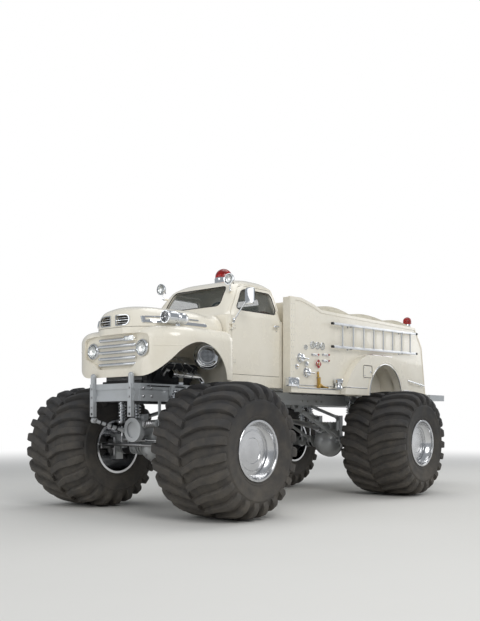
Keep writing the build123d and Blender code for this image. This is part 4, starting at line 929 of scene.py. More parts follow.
@dataclass
class Tyre:
    """A wide low-pressure tyre with two staggered rows of slanted lugs over its shoulders, in metres."""

    radius: float = 0.838
    lug_height: float = 0.052
    lug_count: int = 23
    lug_half_thickness: float = 0.05
    round_steps: int = 138
    stations: int = 17  # segments along a lug
    knee: float = 0.24  # how far out the lugs bend
    shoulder: float = 0.45  # how far out the lugs start to wrap over the shoulder
    # the carcass from its middle to the bead: distance out, radius
    carcass: tuple[tuple[float, float], ...] = ((0.0, 0.786), (0.12, 0.784), (0.24, 0.779), (0.352, 0.771),
                                                (0.43, 0.752), (0.488, 0.718), (0.524, 0.672), (0.546, 0.62),
                                                (0.552, 0.6), (0.5585, 0.594), (0.559, 0.56), (0.554, 0.552),
                                                (0.556, 0.5), (0.544, 0.45), (0.53, 0.415), (0.534, 0.408),
                                                (0.528, 0.396), (0.512, 0.376), (0.506, 0.358))
    # the lugs' crown: distance out, radius
    crown: tuple[tuple[float, float], ...] = ((0.01, 0.838), (0.2, 0.8365), (0.374, 0.825), (0.47, 0.8),
                                              (0.53, 0.755), (0.56, 0.705), (0.5675, 0.668), (0.556, 0.64))

    def on_crown(self, share: float) -> tuple[float, float]:
        """Follows the lugs' crown from the middle of the tread down the sidewall.

        Args:
            share: How far along it, from 0 to 1.

        Returns:
            The distance out and the radius there.
        """
        runs = [dist(a, b) for a, b in zip(self.crown, self.crown[1:])]
        left = share * sum(runs)
        for (a, b), run in zip(zip(self.crown, self.crown[1:]), runs):
            if left <= run:
                t = left / run
                return a[0] + t * (b[0] - a[0]), a[1] + t * (b[1] - a[1])
            left -= run
        return self.crown[-1]

    def lead(self, out: float) -> float:
        """Gives how far along the tread a lug's middle lies: it slants up to its knee, and less beyond.

        Args:
            out: The distance out from the tyre's middle.

        Returns:
            The distance along the tread.
        """
        if out < self.knee:
            return -0.014 + (out - 0.012) / (self.knee - 0.012) * 0.11
        return 0.096 + (out - self.knee) * 0.2

    def lug(self, shape: Shape, turn: float, way: int) -> None:
        """Adds one lug.

        Args:
            shape: The tyre's mesh.
            turn: Its angle round the tyre.
            way: 1 for a lug that runs outward from the tread's middle, -1 for one that runs inward.
        """
        points: list[Vector] = []
        for i in range(self.stations + 1):
            share = i / self.stations
            out, radius = self.on_crown(share)
            top = radius - (0.012 if i in (0, self.stations) else 0.0)
            base, base_out = max(0.6, radius - self.lug_height - 0.022), out
            if out >= self.shoulder:
                base, base_out = radius - 0.055, out - (out - self.shoulder) * 0.45
            middle = self.lead(out)
            if share > 0.72:
                middle += (share - 0.72) * 0.05
            half = self.lug_half_thickness - 0.006 * cos(share * pi)
            section = ((-half - 0.012, base, base_out), (-half, top - 0.011, out), (-half + 0.011, top, out),
                       (half - 0.011, top, out), (half, top - 0.011, out), (half + 0.012, base, base_out))
            for across, r, y in section:
                angle = turn + (middle + across) / self.radius
                points.append(Vector((r * cos(angle), way * y, r * sin(angle))))
        n = 6
        faces, _ = grid(self.stations, n - 1)
        last = self.stations * n
        shape.add(points, [*faces, tuple(range(n)), tuple(range(last, last + n))])

    def build(self, name: str, place: Point, side: Side, body: Body) -> None:
        """Builds the tyre of one wheel.

        Args:
            name: The piece's name.
            place: The wheel's middle.
            side: The truck's side.
            body: The wheel's body.
        """
        shape = Shape(name, [TYRE_RUBBER])
        whole = [(-out, radius) for out, radius in reversed(self.carcass)] + list(self.carcass[1:])
        shape.lathe(whole, (0, 0, 0), LEFT, self.round_steps)
        pitch = tau / self.lug_count
        for number in range(self.lug_count):
            self.lug(shape, -number * pitch, 1)
            self.lug(shape, -(number + 0.5) * pitch, -1)
        shape.stand(place, side)
        shape.piece(body, [f"tyre_{name.removesuffix('_tread')}"], 38.0)


@dataclass
class Wheel:
    """A deep dished wheel with a plain disc, a clamp ring with its bolts, and a hub behind, in metres."""

    rim: float = 0.352
    bead: float = 0.5148
    disc_out: float = 0.42
    clamp_bolts: int = 24

    def build(self, name: str, place: Point, side: Side, body: Body) -> None:
        """Builds one wheel.

        Args:
            name: The piece's name.
            place: The wheel's middle.
            side: The truck's side.
            body: The wheel's body.
        """
        shape = Shape(name, [WHEEL_ALLOY, MACHINED_STEEL, RUNNING_GEAR])
        lip = self.bead + 0.012
        outer = ((self.disc_out - 0.006, 0.0), (self.disc_out - 0.006, 0.15), (self.disc_out, 0.156),
                 (self.disc_out, 0.236), (self.disc_out - 0.005, 0.24), (self.disc_out - 0.005, 0.25),
                 (self.disc_out, 0.254), (self.disc_out, 0.292), (self.disc_out + 0.01, 0.304),
                 (self.disc_out + 0.07, 0.336), (self.disc_out + 0.09, 0.341), (lip - 0.004, 0.341), (lip, 0.345),
                 (lip, 0.367), (lip - 0.004, 0.371), (self.bead, 0.371), (self.bead, self.rim - 0.001),
                 (0.47, self.rim - 0.001), (0.44, self.rim - 0.008), (-0.44, self.rim - 0.008),
                 (-0.47, self.rim - 0.001), (-self.bead, self.rim - 0.001), (-self.bead, 0.371), (-lip, 0.371),
                 (-lip, 0.341), (-0.3, 0.336), (0.38, 0.336), (0.392, 0.3), (0.396, 0.292), (0.404, 0.29), (0.404, 0))
        shape.lathe(outer, (0, 0, 0), LEFT, 96)
        for way in ways(self.clamp_bolts):
            screw = ((-0.004, 0.006), (0, 0.006), (0.0007, 0.005), (0.0007, 0))
            shape.lathe(screw, way * 0.357 + LEFT * lip, LEFT, 8, 1)
        hub = ((0.398, 0.15), (0.1, 0.15), (0.095, 0.144), (-0.06, 0.144), (-0.07, 0.15), (-0.119, 0.15),
               (-0.119, 0.062), (-0.05, 0.062), (-0.05, 0.0))
        shape.lathe(hub, (0, 0, 0), LEFT, 48, 2)
        shape.stand(place, side)
        shape.piece(body, [f"wheel_{name.removesuffix('_rim')}"], 30.0)


@dataclass
class Corners:
    """The four wheels with their tyres."""

    tyre: Tyre = field(default_factory=Tyre)
    wheel: Wheel = field(default_factory=Wheel)

    def build(self) -> None:
        """Builds them all."""
        # each corner: name, place along the truck, side, body
        table = (("front_left", FRONT_AXLE_X, Side.LEFT, Body.FRONT_LEFT),
                 ("front_right", FRONT_AXLE_X, Side.RIGHT, Body.FRONT_RIGHT),
                 ("rear_left", REAR_AXLE_X, Side.LEFT, Body.REAR_LEFT),
                 ("rear_right", REAR_AXLE_X, Side.RIGHT, Body.REAR_RIGHT))
        for name, x, side, body in table:
            place = (x, side * TYRE_Y, AXLE_Z)
            self.tyre.build(f"{name}_tread", place, side, body)
            self.wheel.build(f"{name}_rim", place, side, body)


@dataclass
class Front:
    """The grille's bars, the marker lamp, the headlamps and the fenders' pressed lines."""

    nose: float = 690.0  # the nose, forward of the front axle, in millimetres as all sizes here
    pan: float = 628.0  # the recess's floor
    bar_levels: tuple[float, ...] = (245.0, 323.75, 402.5, 481.25, 560.0)
    bar_half: float = 329.0
    top_bar_half: float = 318.0
    bar_radius: float = 22.0
    marker: tuple[float, float] = (170.0, 335.0)
    lamp_left: float = 465.0
    lamp_up: float = 433.0

    def build(self) -> None:
        """Builds them all."""
        self.bars()
        for side in Side:
            self.headlamp(side)
        self.pressings()

    def bars(self) -> None:
        """Puts a plated skin on each bar, with a bolt head at each end, and dresses the marker lamp."""
        shape = Shape("grille_bars", [CHROME, LAMP_GLASS, BLACK_PLASTIC])
        for number, up in enumerate(self.bar_levels):
            half = self.top_bar_half if number == len(self.bar_levels) - 1 else self.bar_half
            radius = self.bar_radius + 0.6
            turned = [(-radius, 0.0)]
            turned += [(-radius * cos(a), radius * sin(a)) for a in (0.35, 0.7, 1.05, 1.35)]
            turned += [(0, radius), (2 * half, radius)]
            turned += [(2 * half + radius * sin(a), radius * cos(a)) for a in (0.25, 0.55, 0.9, 1.25)]
            turned += [(2 * half + radius, 0.0)]
            profile = [(along * MM, across * MM) for along, across in turned]
            shape.lathe(profile, at(self.pan + 26, -half, up), LEFT, 28)
            for side in Side:
                shape.bolt(at(self.pan + 47, side * (half - 22), up), FORE, 0.014, 0.004)
        low, high = self.marker
        level = self.bar_levels[-1]
        shape.block(at(self.nose - 9, low - 3, level - 31), at(self.nose - 4, high + 3, level + 31), 0.004)
        shape.block(at(self.nose - 5, low + 10, level - 19), at(self.nose - 1.5, high - 10, level + 19), 0.003, 1)
        shape.piece(Body.CHASSIS)

    def headlamp(self, side: Side) -> None:
        """Builds a headlamp: a plated rim, a reflector bowl, a bulb and a fluted lens.

        Args:
            side: The truck's side.
        """
        middle = at(self.pan + 8.3, side * self.lamp_left, self.lamp_up)
        shape = Shape(f"headlamp_{side.label}", [CHROME, LAMP_GLASS, BLACK_PLASTIC])
        rim = ((0, 0.1078), (0.016, 0.1078), (0.022, 0.1066), (0.027, 0.103), (0.03, 0.0975), (0.03, 0.093),
               (0.027, 0.0905), (0.031, 0.089), (0.033, 0.0868), (0.03, 0.0848), (0.024, 0.0838), (0.018, 0.0838),
               (0.01, 0.07), (0.005, 0.045), (0.003, 0.02), (0.003, 0))
        shape.lathe(rim, middle, FORE, 64)
        shape.lathe(dome(0.024, 0.022, 0.0836, 9), middle, FORE, 64, 1)
        shape.lathe(((0.003, 0.012), (0.014, 0.012), (0.021, 0.008), (0.023, 0)), middle, FORE, 20, 1)
        for way in ways(3, LEFT, UP, pi / 2):
            screw = ((0, 0.0045), (0.002, 0.0045), (0.003, 0.003), (0.003, 0))
            shape.lathe(screw, middle + FORE * 0.029 + way * 0.0955, FORE, 10)
        shape.piece(Body.CHASSIS, ["headlamps"], 28.0)

    def pressings(self) -> None:
        """Lays the pressed line along each fender."""
        skin = Skin("front_clip")
        shape = Shape("fender_pressings", [BODY_ENAMEL])
        for side in Side:
            crease = [at(x, side * CLEAR, 449 - (x - 388) * 0.012) for x in range(392, 672, 14)]
            shape.bead(skin, crease, -side * LEFT, -0.001, 0.0045)
        shape.piece(Body.CHASSIS, smooth=50)


@dataclass
class HoodTrim:
    """The bars of the hood's two nose vents and the dark slats behind them."""

    vent_near: float = 58.0
    vent_far: float = 262.0
    vent_low: float = 735.0
    vent_high: float = 848.0
    slats: int = 26

    def build(self) -> None:
        """Builds each vent's bars, bowed forward, and the slats."""
        skin = Skin("hood", "hood_trim")
        shape = Shape("hood_vents", [CHROME, BLACK_PLASTIC])
        middle = (self.vent_low + self.vent_high) / 2
        for side in Side:
            for level, radius in ((middle, 0.0075), (middle - 30, 0.0035), (middle + 30, 0.0035)):
                reach = 4 if level == middle else 14
                near, far = self.vent_near - 4, self.vent_far + reach - 12
                ends = skin.trace([at(900, side * (near - 12), level), at(900, side * (far + 20), level)], (-1, 0, 0))
                if len(ends) < 2:
                    continue
                shares = [i / 10 for i in range(11)]
                path = [ends[0].lerp(ends[1], t) + FORE * (0.01 * sin(pi * t) - 0.012) for t in shares]
                shape.tube(path, radius, 10)
            for number in range(self.slats):
                left = self.vent_near + (self.vent_far - self.vent_near) * (number + 0.5) / self.slats
                depth = 655 - (left / self.vent_far) ** 2 * 45
                slat = [at(depth, side * left, up) for up in (self.vent_low - 4, self.vent_high + 4)]
                shape.tube(slat, 0.0022, 6, finish=1)
        shape.piece(Body.HOOD)


@dataclass
class Siren:
    """A mechanical siren: a slotted mouth, a banded body and a domed tail on its bracket."""

    mouth: float = 550.0
    left: float = 752.0
    foot: float = 700.0
    radius: float = 82.0
    slots: int = 14
    # from the mouth back: distance and radius, in millimetres
    outline: tuple[tuple[float, float], ...] = (
        (0, 66), (0, 79), (4, 82), (14, 82), (18, 79), (24, 78), (132, 82), (140, 84), (150, 84), (156, 80),
        (172, 70), (180, 69), (186, 71), (192, 76), (200, 77), (206, 76), (212, 74), (292, 74), (298, 76),
        (304, 76), (310, 73), (330, 69), (352, 61), (372, 50), (388, 36), (397, 20), (400, 0),
    )
    # one vane's corners in metres: out from the middle, round it, forward of the mouth
    vane: tuple[Point, ...] = ((0.016, -0.001, -0.02), (0.064, -0.003, -0.018), (0.064, 0.011, -0.004),
                               (0.016, 0.002, -0.006), (0.016, 0.001, -0.021), (0.064, -0.001, -0.019),
                               (0.064, 0.013, -0.005), (0.016, 0.004, -0.007))

    def build(self) -> None:
        """Builds it."""
        shape = Shape("siren_body", [CHROME, BLACK_PAINT, MACHINED_STEEL])
        up = self.foot + self.radius + 18
        start = at(self.mouth, self.left, up)
        aft = -FORE
        shape.lathe([(x * MM, r * MM) for x, r in self.outline], start, aft, 48)
        well = ((0, 0.066), (0.004, 0.066), (0.03, 0.062), (0.034, 0))
        shape.lathe(well, start, aft, 40, 1)
        for out in ways(self.slots, LEFT, UP):
            across = FORE.cross(out)
            corners = [start + out * r + across * turned + FORE * x for r, turned, x in self.vane]
            shape.add(corners, BOX_FACES, 2)
        hub = ((0.002, 0), (0.002, 0.008), (0.008, 0.016), (0.03, 0.018))
        shape.lathe(hub, start, aft, 24)
        for radius in (0.036, 0.052):
            shape.ring(start - FORE * 0.003, radius, 0.0022, LEFT, UP, 40)
        saddle = at(self.mouth - 225, self.left, 0)
        shape.block(saddle + Vector((-0.034, -0.026, (self.foot + 0.3) * MM)),
                    saddle + Vector((0.034, 0.026, (self.foot + 7) * MM)), 0.002)
        shape.block(saddle + Vector((-0.022, -0.018, (self.foot + 6) * MM)),
                    saddle + Vector((0.022, 0.018, (up - 62) * MM)), 0.004)
        for fore in (-0.026, 0.026):
            shape.bolt(saddle + Vector((fore, 0, (self.foot + 7) * MM)), UP, 0.012, 0.006)
        shape.piece(Body.CHASSIS, ["siren"], 32.0)


@dataclass
class SpotLamps:
    """A pair of spot lamps on arms beside the windshield."""

    ahead: float = -740.0
    left: float = 655.0
    up: float = 1444.0
    arm_foot: Point = (-800.0, 632.0, 1300.0)
    arm_root: Point = (-862.0, 585.0, 1300.0)

    def build(self) -> None:
        """Builds both."""
        for side in Side:
            shape = Shape(f"spot_lamp_{side.label}", [CHROME, LAMP_GLASS, BLACK_PLASTIC])
            middle = at(self.ahead, side * self.left, self.up)
            bucket = ((0, 0.07), (0, 0.076), (0.003, 0.08), (0.014, 0.08), (0.018, 0.0775), (0.024, 0.076),
                      (0.04, 0.07), (0.056, 0.059), (0.07, 0.043), (0.079, 0.024), (0.082, 0))
            shape.lathe(bucket, middle, -FORE, 44)
            shape.lathe(dome(0.0, 0.006, 0.0705, 6), middle - FORE * 0.005, FORE, 44, 1)
            bowl = ((0, 0.069), (0.012, 0.06), (0.024, 0.04), (0.03, 0.016), (0.03, 0))
            shape.lathe(bowl, middle - FORE * 0.006, -FORE, 36)
            root, foot = (at(x, side * y, z) for x, y, z in (self.arm_root, self.arm_foot))
            run = (foot - root).normalized()
            start = foot + run * 0.0006
            shape.lathe(((0, 0), (0, 0.015), (0.012, 0.015), (0.016, 0.0125), (0.02, 0)), start, run, 20)
            back = middle + Vector((-0.045, 0, -0.004))
            path = [start + run * 0.01, start + run * 0.026 + Vector((0.004, 0, 0.01)),
                    start.lerp(back, 0.45) + run * 0.014, back]
            shape.tube(path, 0.0085, 12)
            grip = back + Vector((-0.034, 0, 0.004))
            shape.tube([grip, grip + Vector((-0.02, 0, -0.022)), grip + Vector((-0.026, 0, -0.052))], 0.006, 10,
                       finish=2)
            shape.piece(Body.CHASSIS, ["spot_lamps"], 32.0)


@dataclass
class Beacons:
    """The red beacons: a large one on the roof and one on each rear corner of the cover."""

    # each: name, forward of the front axle, left, foot, radius, height, skirt below the foot
    table: tuple[tuple[str, float, float, float, float, float, float], ...] = (
        ("roof", -1390.0, 0.0, 1590.6, 134.0, 166.0, 68.0),
        ("rear_left", -5370.0, 856.0, 1220.6, 78.0, 158.0, 0.0),
        ("rear_right", -5370.0, -856.0, 1220.6, 78.0, 158.0, 0.0),
    )
    ribs: int = 6

    def build(self) -> None:
        """Builds each: a plated foot, a ribbed red dome, and the lamp with its mirror inside."""
        for name, ahead, left, foot, radius, height, skirt in self.table:
            shape = Shape(f"beacon_{name}", [CHROME, RED_GLASS, LAMP_GLASS])
            r, h = radius * MM, height * MM
            place = at(ahead, left, foot)
            base = ((-skirt * MM, 0.0), (-skirt * MM, r * 1.04), (-skirt * MM + 0.008, r), (0.012, r),
                    (0.02, r * 0.985), (0.028, r * 0.95), (0.03, r * 0.9), (0.03, 0))
            shape.lathe(base, place, UP, 48)
            shoulder = r * 0.93
            wall = h - shoulder * 0.98
            lens = [(0.028, shoulder * 0.97), (0.034, shoulder)]
            if wall > 0.05:
                for level in (0.04 + (wall - 0.04) * i / self.ribs for i in range(self.ribs)):
                    lens += [(level, shoulder), (level + 0.002, shoulder * 0.985)]
            cap = max(wall, 0.036)
            lens += reversed(dome(cap, h - cap, shoulder, 9))
            shape.lathe(lens, place, UP, 48, 1)
            lamp = place + UP * 0.03
            shape.lathe(((0, 0), (0, r * 0.14), (h * 0.18, r * 0.16), (h * 0.3, r * 0.1), (h * 0.32, 0)), lamp, UP,
                        16, 2)
            mirror = ((0, r * 0.52), (h * 0.05, r * 0.5), (h * 0.14, r * 0.36), (h * 0.17, 0.0))
            shape.lathe(mirror, lamp + Vector((-r * 0.4, 0, h * 0.25)), (-1, 0, 0.25), 24)
            shape.piece(Body.CHASSIS, ["beacons"], 34.0)


@dataclass
class CabSeals:
    """The rubber round the windows."""

    # outlines seen from the side: forward of the front axle and above the rails
    door_window: tuple[tuple[float, float], ...] = ((-765, 1030), (-980, 1335), (-1592, 1335), (-1630, 1040))
    rear_window: tuple[float, float, float] = (360.0, 1100.0, 1330.0)  # half-width, sill, head
    windshield: tuple[tuple[float, float], ...] = ((-525, 1095), (525, 1095), (492, 1385), (-492, 1385))
    seal: float = 7.0  # the rubber's radius
    margin: float = 5.0  # how far the rubber's middle lies outside the opening

    def grown(self, outline: Sequence[tuple[float, float]], radius: float) -> list[tuple[float, float]]:
        """Rounds an outline and grows it by the margin.

        Args:
            outline: The opening's corners.
            radius: How far from each corner the rounding starts.

        Returns:
            The rubber's middle line.
        """
        smooth = rounded(outline, radius, 8)
        middle = Vector((sum(p[0] for p in smooth), sum(p[1] for p in smooth))) / len(smooth)
        return [tuple(Vector(p) + (Vector(p) - middle).normalized() * self.margin) for p in smooth]

    def build(self) -> None:
        """Builds the seals, piece by piece."""
        shape = Shape("cab_seals", [RUBBER_SEAL])
        cab = Skin("cab")
        self.seal_round(shape, cab, [at(400, y, z) for y, z in self.grown(self.windshield, 75)], -FORE)
        half, sill, head = self.rear_window
        pane = self.grown(((-half, sill), (half, sill), (half, head), (-half, head)), 70)
        self.seal_round(shape, cab, [at(-2400, y, z) for y, z in pane], FORE)
        shape.piece(Body.CHASSIS)
        for side in Side:
            shape = Shape(f"door_seal_{side.label}", [RUBBER_SEAL, CHROME])
            line = [at(x, side * CLEAR, z) for x, z in self.grown(self.door_window, 75)]
            self.seal_round(shape, Skin(f"door_{side.label}"), line, -side * LEFT)
            shape.piece(side.door)

    def seal_round(self, shape: Shape, skin: Skin, line: Sequence[Vector], way: Vector) -> None:
        """Lays one seal.

        Args:
            shape: The piece that it joins.
            skin: What it lies on.
            line: Its middle line, clear of the skin.
            way: The direction in which the line drops.
        """
        shape.bead(skin, line, way, -0.001, self.seal * MM, closed=True, step=0.03)


@dataclass
class Doors:
    """The door handles, the hinges' leaves, the inner panels and the outside mirror."""

    handle_ahead: float = -1567.0
    handle_up: float = 863.0
    hinge_levels: tuple[float, float] = (330.0, 790.0)
    pivot_ahead: float = -635.0
    pivot_left: float = 820.0
    skin_left: float = 800.0
    wall: float = 40.0
    mirror_ahead: float = -700.0
    mirror_left: float = 1055.0
    mirror_up: float = 1175.0
    mirror_size: tuple[float, float] = (150.0, 215.0)

    def build(self) -> None:
        """Builds both doors' fittings."""
        for side in Side:
            self.fittings(side)
            self.inner_panel(side)
        self.mirror()

    def fittings(self, side: Side) -> None:
        """Builds the lever handle with its scutcheon, the lock and the hinge leaves' screws.

        Args:
            side: The door's side.
        """
        shape = Shape(f"door_handle_{side.label}", [CHROME, MACHINED_STEEL])
        out = side * LEFT
        pad = at(self.handle_ahead - 44, side * self.skin_left, self.handle_up)
        shape.lathe(((-0.001, 0.0), (-0.001, 0.024), (0.004, 0.024), (0.008, 0.018), (0.009, 0)), pad, out, 24)
        path = [at(self.handle_ahead + dx, side * (self.skin_left + dy), self.handle_up + dz) for dx, dy, dz in (
            (-44, 20, 0), (-44, 40, 0), (-34, 48, 1), (-10, 50, 2), (30, 49, 0), (60, 46, -5), (74, 42, -8))]
        shape.tube(path, [0.012, 0.0145, 0.0155, 0.015, 0.0145, 0.014, 0.006], 14)
        lock = at(self.handle_ahead - 44, side * self.skin_left, self.handle_up - 62)
        shape.lathe(((-0.001, 0.0), (-0.001, 0.011), (0.003, 0.011), (0.004, 0.008), (0.004, 0)), lock, out, 18)
        for level in self.hinge_levels:
            for dx in (-62, -34):
                for dz in (-14, 14):
                    spot = at(self.pivot_ahead + dx, side * (self.skin_left + 12), level + dz)
                    shape.lathe(((-0.001, 0.0055), (0.0016, 0.005), (0.002, 0)), spot, out, 10, 1)
            for end in (-1, 1):
                spot = at(self.pivot_ahead, side * self.pivot_left, level + end * 41)
                shape.lathe(((-0.001, 0.0), (-0.001, 0.013), (0.003, 0.012), (0.006, 0.007), (0.007, 0)), spot,
                            end * UP, 18)
        shape.piece(side.door)

    def inner_panel(self, side: Side) -> None:
        """Builds the trimmed panel inside a door, with its pull, crank and armrest.

        Args:
            side: The door's side.
        """
        shape = Shape(f"door_panel_{side.label}", [SEAT_HIDE, CHROME, BLACK_PLASTIC])
        inner = self.skin_left - self.wall
        outline = rounded(((-690, 190), (-690, 900), (-1640, 900), (-1640, 190)), 60, 5)
        place = plane(at(0, side * inner, 0), FORE, UP, -side * LEFT)
        shape.prism([(x * MM, z * MM) for x, z in outline], place, 0.01, 0.004)
        for number in range(9):
            ahead = -740 - number * 106
            shape.tube([at(ahead, side * (inner - 10), 520), at(ahead, side * (inner - 10), 860)], 0.004, 8)
        shape.tube([at(-700, side * (inner - 9), 500), at(-1630, side * (inner - 9), 500)], 0.006, 8)
        shape.block(at(-1480, side * (inner - 52), 560), at(-1180, side * (inner - 9), 604), 0.012, 2)
        crank = at(-1150, side * (inner - 8), 730)
        shape.lathe(((0, 0.03), (0.008, 0.03), (0.014, 0.016), (0.026, 0.014), (0.028, 0)), crank, -side * LEFT, 24, 1)
        knob = crank + Vector((0.075, -side * 0.034, -0.055))
        shape.tube([crank + Vector((0, -side * 0.024, 0)), knob], 0.007, 10, finish=1)
        shape.lathe(((0, 0), (0, 0.012), (0.026, 0.014), (0.03, 0)), knob, -side * LEFT, 16, 2)
        shape.tube([at(-1350, side * (inner - 8), 790), at(-1350, side * (inner - 34), 790),
                    at(-1270, side * (inner - 38), 780)], 0.007, 10, finish=1)
        shape.piece(side.door)

    def mirror(self) -> None:
        """Builds the mirror: a bracket on the door, an arm, a rounded shell and the glass."""
        shape = Shape("outside_mirror", [CHROME, MIRROR_GLASS, RUBBER_SEAL])
        foot = at(-673, 812, 870)
        shape.block(at(-693, self.skin_left + 0.4, 840), at(-653, self.skin_left + 11, 900), 0.004)
        for up in (850, 890):
            shape.lathe(((0, 0.005), (0.002, 0.004), (0.0022, 0)), at(-673, self.skin_left + 11, up), LEFT, 10)
        top = at(self.mirror_ahead - 10, 1040, self.mirror_up)
        shape.lathe(((-0.01, 0.0), (-0.01, 0.014), (0, 0.016), (0.012, 0.014), (0.018, 0.008), (0.018, 0)),
                    foot + Vector((0, -0.001, 0)), (0.1, 0.62, 0.78), 20)
        shape.tube([foot, foot.lerp(top, 0.5), top], 0.0088, 14)
        shape.lathe(((0, 0), (0, 0.013), (0.01, 0.015), (0.018, 0.011), (0.018, 0)), top - FORE * 0.004, FORE, 18)
        wide, high = (v / 2 * MM for v in self.mirror_size)
        outline = rectangle(wide, high, 0.042, 6)
        middle = at(self.mirror_ahead - 15, self.mirror_left, self.mirror_up)
        shape.prism(outline, plane(middle, LEFT, UP, FORE), 0.022, 0.009)
        glass = [(y * 0.93, z * 0.95) for y, z in outline]
        shape.prism(glass, plane(middle + FORE * 0.0004, LEFT, UP, -FORE), 0.0016, finish=1)
        rim = [middle + Vector((0, y, z)) for y, z in outline]
        shape.tube(rim, 0.0022, 6, closed=True)
        shape.piece(Body.LEFT_DOOR, ["mirror_left"], 30.0)


@dataclass
class CabInside:
    """The pleated bench, the dashboard's dials and knobs, the wheel with its column, and the pedals."""

    seat_rear: float = -1590.0
    seat_front: float = -1070.0
    seat_half: float = 640.0
    seat_top: float = 430.0
    back_rear: float = -1735.0
    back_top: float = 1130.0
    back_half: float = 300.0
    back_left: float = 322.0
    back_corner: float = 118.0
    floor: float = 31.0
    dash_face: float = -760.0
    dash_levels: tuple[float, float] = (780.0, 940.0)
    pleats: int = 12
    helm: Point = (-960.0, 370.0, 990.0)
    column_up: float = 860.0

    def build(self) -> None:
        """Builds them all."""
        self.cushion()
        for side in Side:
            self.backrest(side)
        self.dashboard()
        self.controls()

    def cushion(self) -> None:
        """Builds the seat cushion, pleated from front to back and piped round its edge."""
        shape = Shape("bench_cushion", [SEAT_HIDE])
        columns, rows = self.pleats * 6, 16
        left_edge = self.seat_half - 2
        points: list[Vector] = []
        for i in range(columns + 1):
            u = i / columns
            left = -left_edge + 2 * left_edge * u
            pleat = abs(sin(pi * u * self.pleats)) ** 0.6
            edge = min(1.0, min(u, 1 - u) / 0.04)
            for j in range(rows + 1):
                v = j / rows
                ahead = self.seat_rear + 2 + (self.seat_front - self.seat_rear - 4) * v
                rim = min(1.0, min(v, 1 - v) / 0.12)
                round_off = (1 - (1 - edge) ** 2) ** 0.5 * (1 - (1 - rim) ** 2) ** 0.5
                up = self.seat_top - 60 + 46 * round_off + 12 * pleat * rim * edge
                points.append(at(ahead, left, up))
        faces, border = grid(columns, rows)
        foot, count = len(points), len(border)
        base_up = self.seat_top - 250
        points += [Vector((points[k].x, points[k].y, RAIL_TOP + base_up * MM)) for k in border]
        faces += [(border[k], foot + k, foot + (k + 1) % count, border[(k + 1) % count]) for k in range(count)]
        shape.add(points, [*faces, tuple(range(foot, foot + count))])
        middle, reach = (self.seat_rear + self.seat_front) / 2, (self.seat_front - self.seat_rear) / 2 - 6
        pipe = [at(middle + x, y, self.seat_top - 58) for x, y in rectangle(reach, left_edge - 4, 30, 4)]
        shape.tube(pipe, 0.006, 8, closed=True)
        cushion = shape.piece(Body.CHASSIS, ["bench_seat"], 60.0)
        box = Shape("bench_box", [BLACK_PAINT, MACHINED_STEEL])
        box.block(at(self.seat_rear + 20, -self.seat_half + 20, self.floor),
                  at(self.seat_front - 30, self.seat_half - 20, base_up - 1), 0.006)
        box.piece(Body.CHASSIS)

    def backrest(self, side: Side) -> None:
        """Builds one rounded backrest with its upright pleats.

        Args:
            side: The truck's side.
        """
        shape = Shape(f"backrest_{side.label}", [SEAT_HIDE])
        low, high = self.seat_top - 60, self.back_top - 4
        half, reach = self.back_half - 4, self.seat_rear - self.back_rear - 4
        columns, rows = 42, 22
        points: list[Vector] = []
        for i in range(columns + 1):
            u = -1 + 2 * i / columns
            pleat = abs(sin(pi * (i / columns) * 6)) ** 0.6
            for j in range(rows + 1):
                v = j / rows
                up = low + (high - low) * v
                over = max(0.0, up - (high - self.back_corner))
                width = half - (self.back_corner - sqrt(max(0.0, self.back_corner**2 - over**2)))
                left = side * self.back_left + u * width
                edge = max(0.0, 1 - abs(u) ** 8) * min(1.0, (1 - v) / 0.06 + 0.02)
                thick = 40 + (reach - 52) * edge**0.5 + 8 * pleat * edge
                points.append(at(self.back_rear + 2 + thick, left, up))
        back = [Vector((at(self.back_rear + 2, 0, 0).x, p.y, p.z)) for p in points]
        shape.add(points + back, slab(columns, rows))
        shape.piece(Body.CHASSIS, smooth=60.0)

    def dashboard(self) -> None:
        """Builds the dials, the glove box, the speaker slots and the knobs on the dashboard."""
        shape = Shape("dash_fittings", [CHROME, WHITE_DIAL, BLACK_PAINT, CLEAR_GLASS, BLACK_PLASTIC])
        face = self.dash_face
        middle = sum(self.dash_levels) / 2
        aft = -FORE
        for left, radius in ((370, 62), (235, 34), (505, 34)):
            spot = at(face, left, middle + 4)
            r = radius * MM
            shape.lathe(((0, r), (0.006, r), (0.009, r * 0.95), (0.006, r * 0.9), (0.003, r * 0.88)), spot, aft, 36)
            shape.lathe(((0.003, r * 0.89), (0.003, 0)), spot, aft, 36, 1)
            for number in range(11):
                angle = radians(-125 + number * 25)
                out = Vector((0, -sin(angle), cos(angle)))
                mark = spot + aft * 0.0034 + out * r * 0.68
                shape.tube([mark, mark + out * r * 0.14], 0.0009, 5, finish=2)
            tip = Vector((0, sin(0.9), cos(0.9)))
            pin = spot + aft * 0.0044
            shape.tube([pin - tip * r * 0.12, pin + tip * r * 0.7], [0.0016, 0.0006], 5, finish=2)
        lid = rectangle(0.17, 0.052, 0.02, 4)
        shape.prism(lid, plane(at(face, -440, middle), -LEFT, UP, aft), 0.005, 0.002, 4)
        shape.lathe(((0, 0.011), (0.012, 0.011), (0.016, 0.006), (0.016, 0)), at(face - 5, -440, middle + 36), aft, 18)
        for number in range(7):
            left = -60 + number * 20
            shape.block(at(face - 2.5, left - 3.5, middle - 42), at(face + 1, left + 3.5, middle + 42), 0.001, 2)
        for left in (140, -100, -150, 600):
            spot = at(face, left, middle - 44)
            shape.lathe(((0, 0.006), (0.016, 0.006), (0.018, 0.014), (0.026, 0.013), (0.029, 0)), spot, aft, 20, 4)
        shape.piece(Body.CHASSIS)

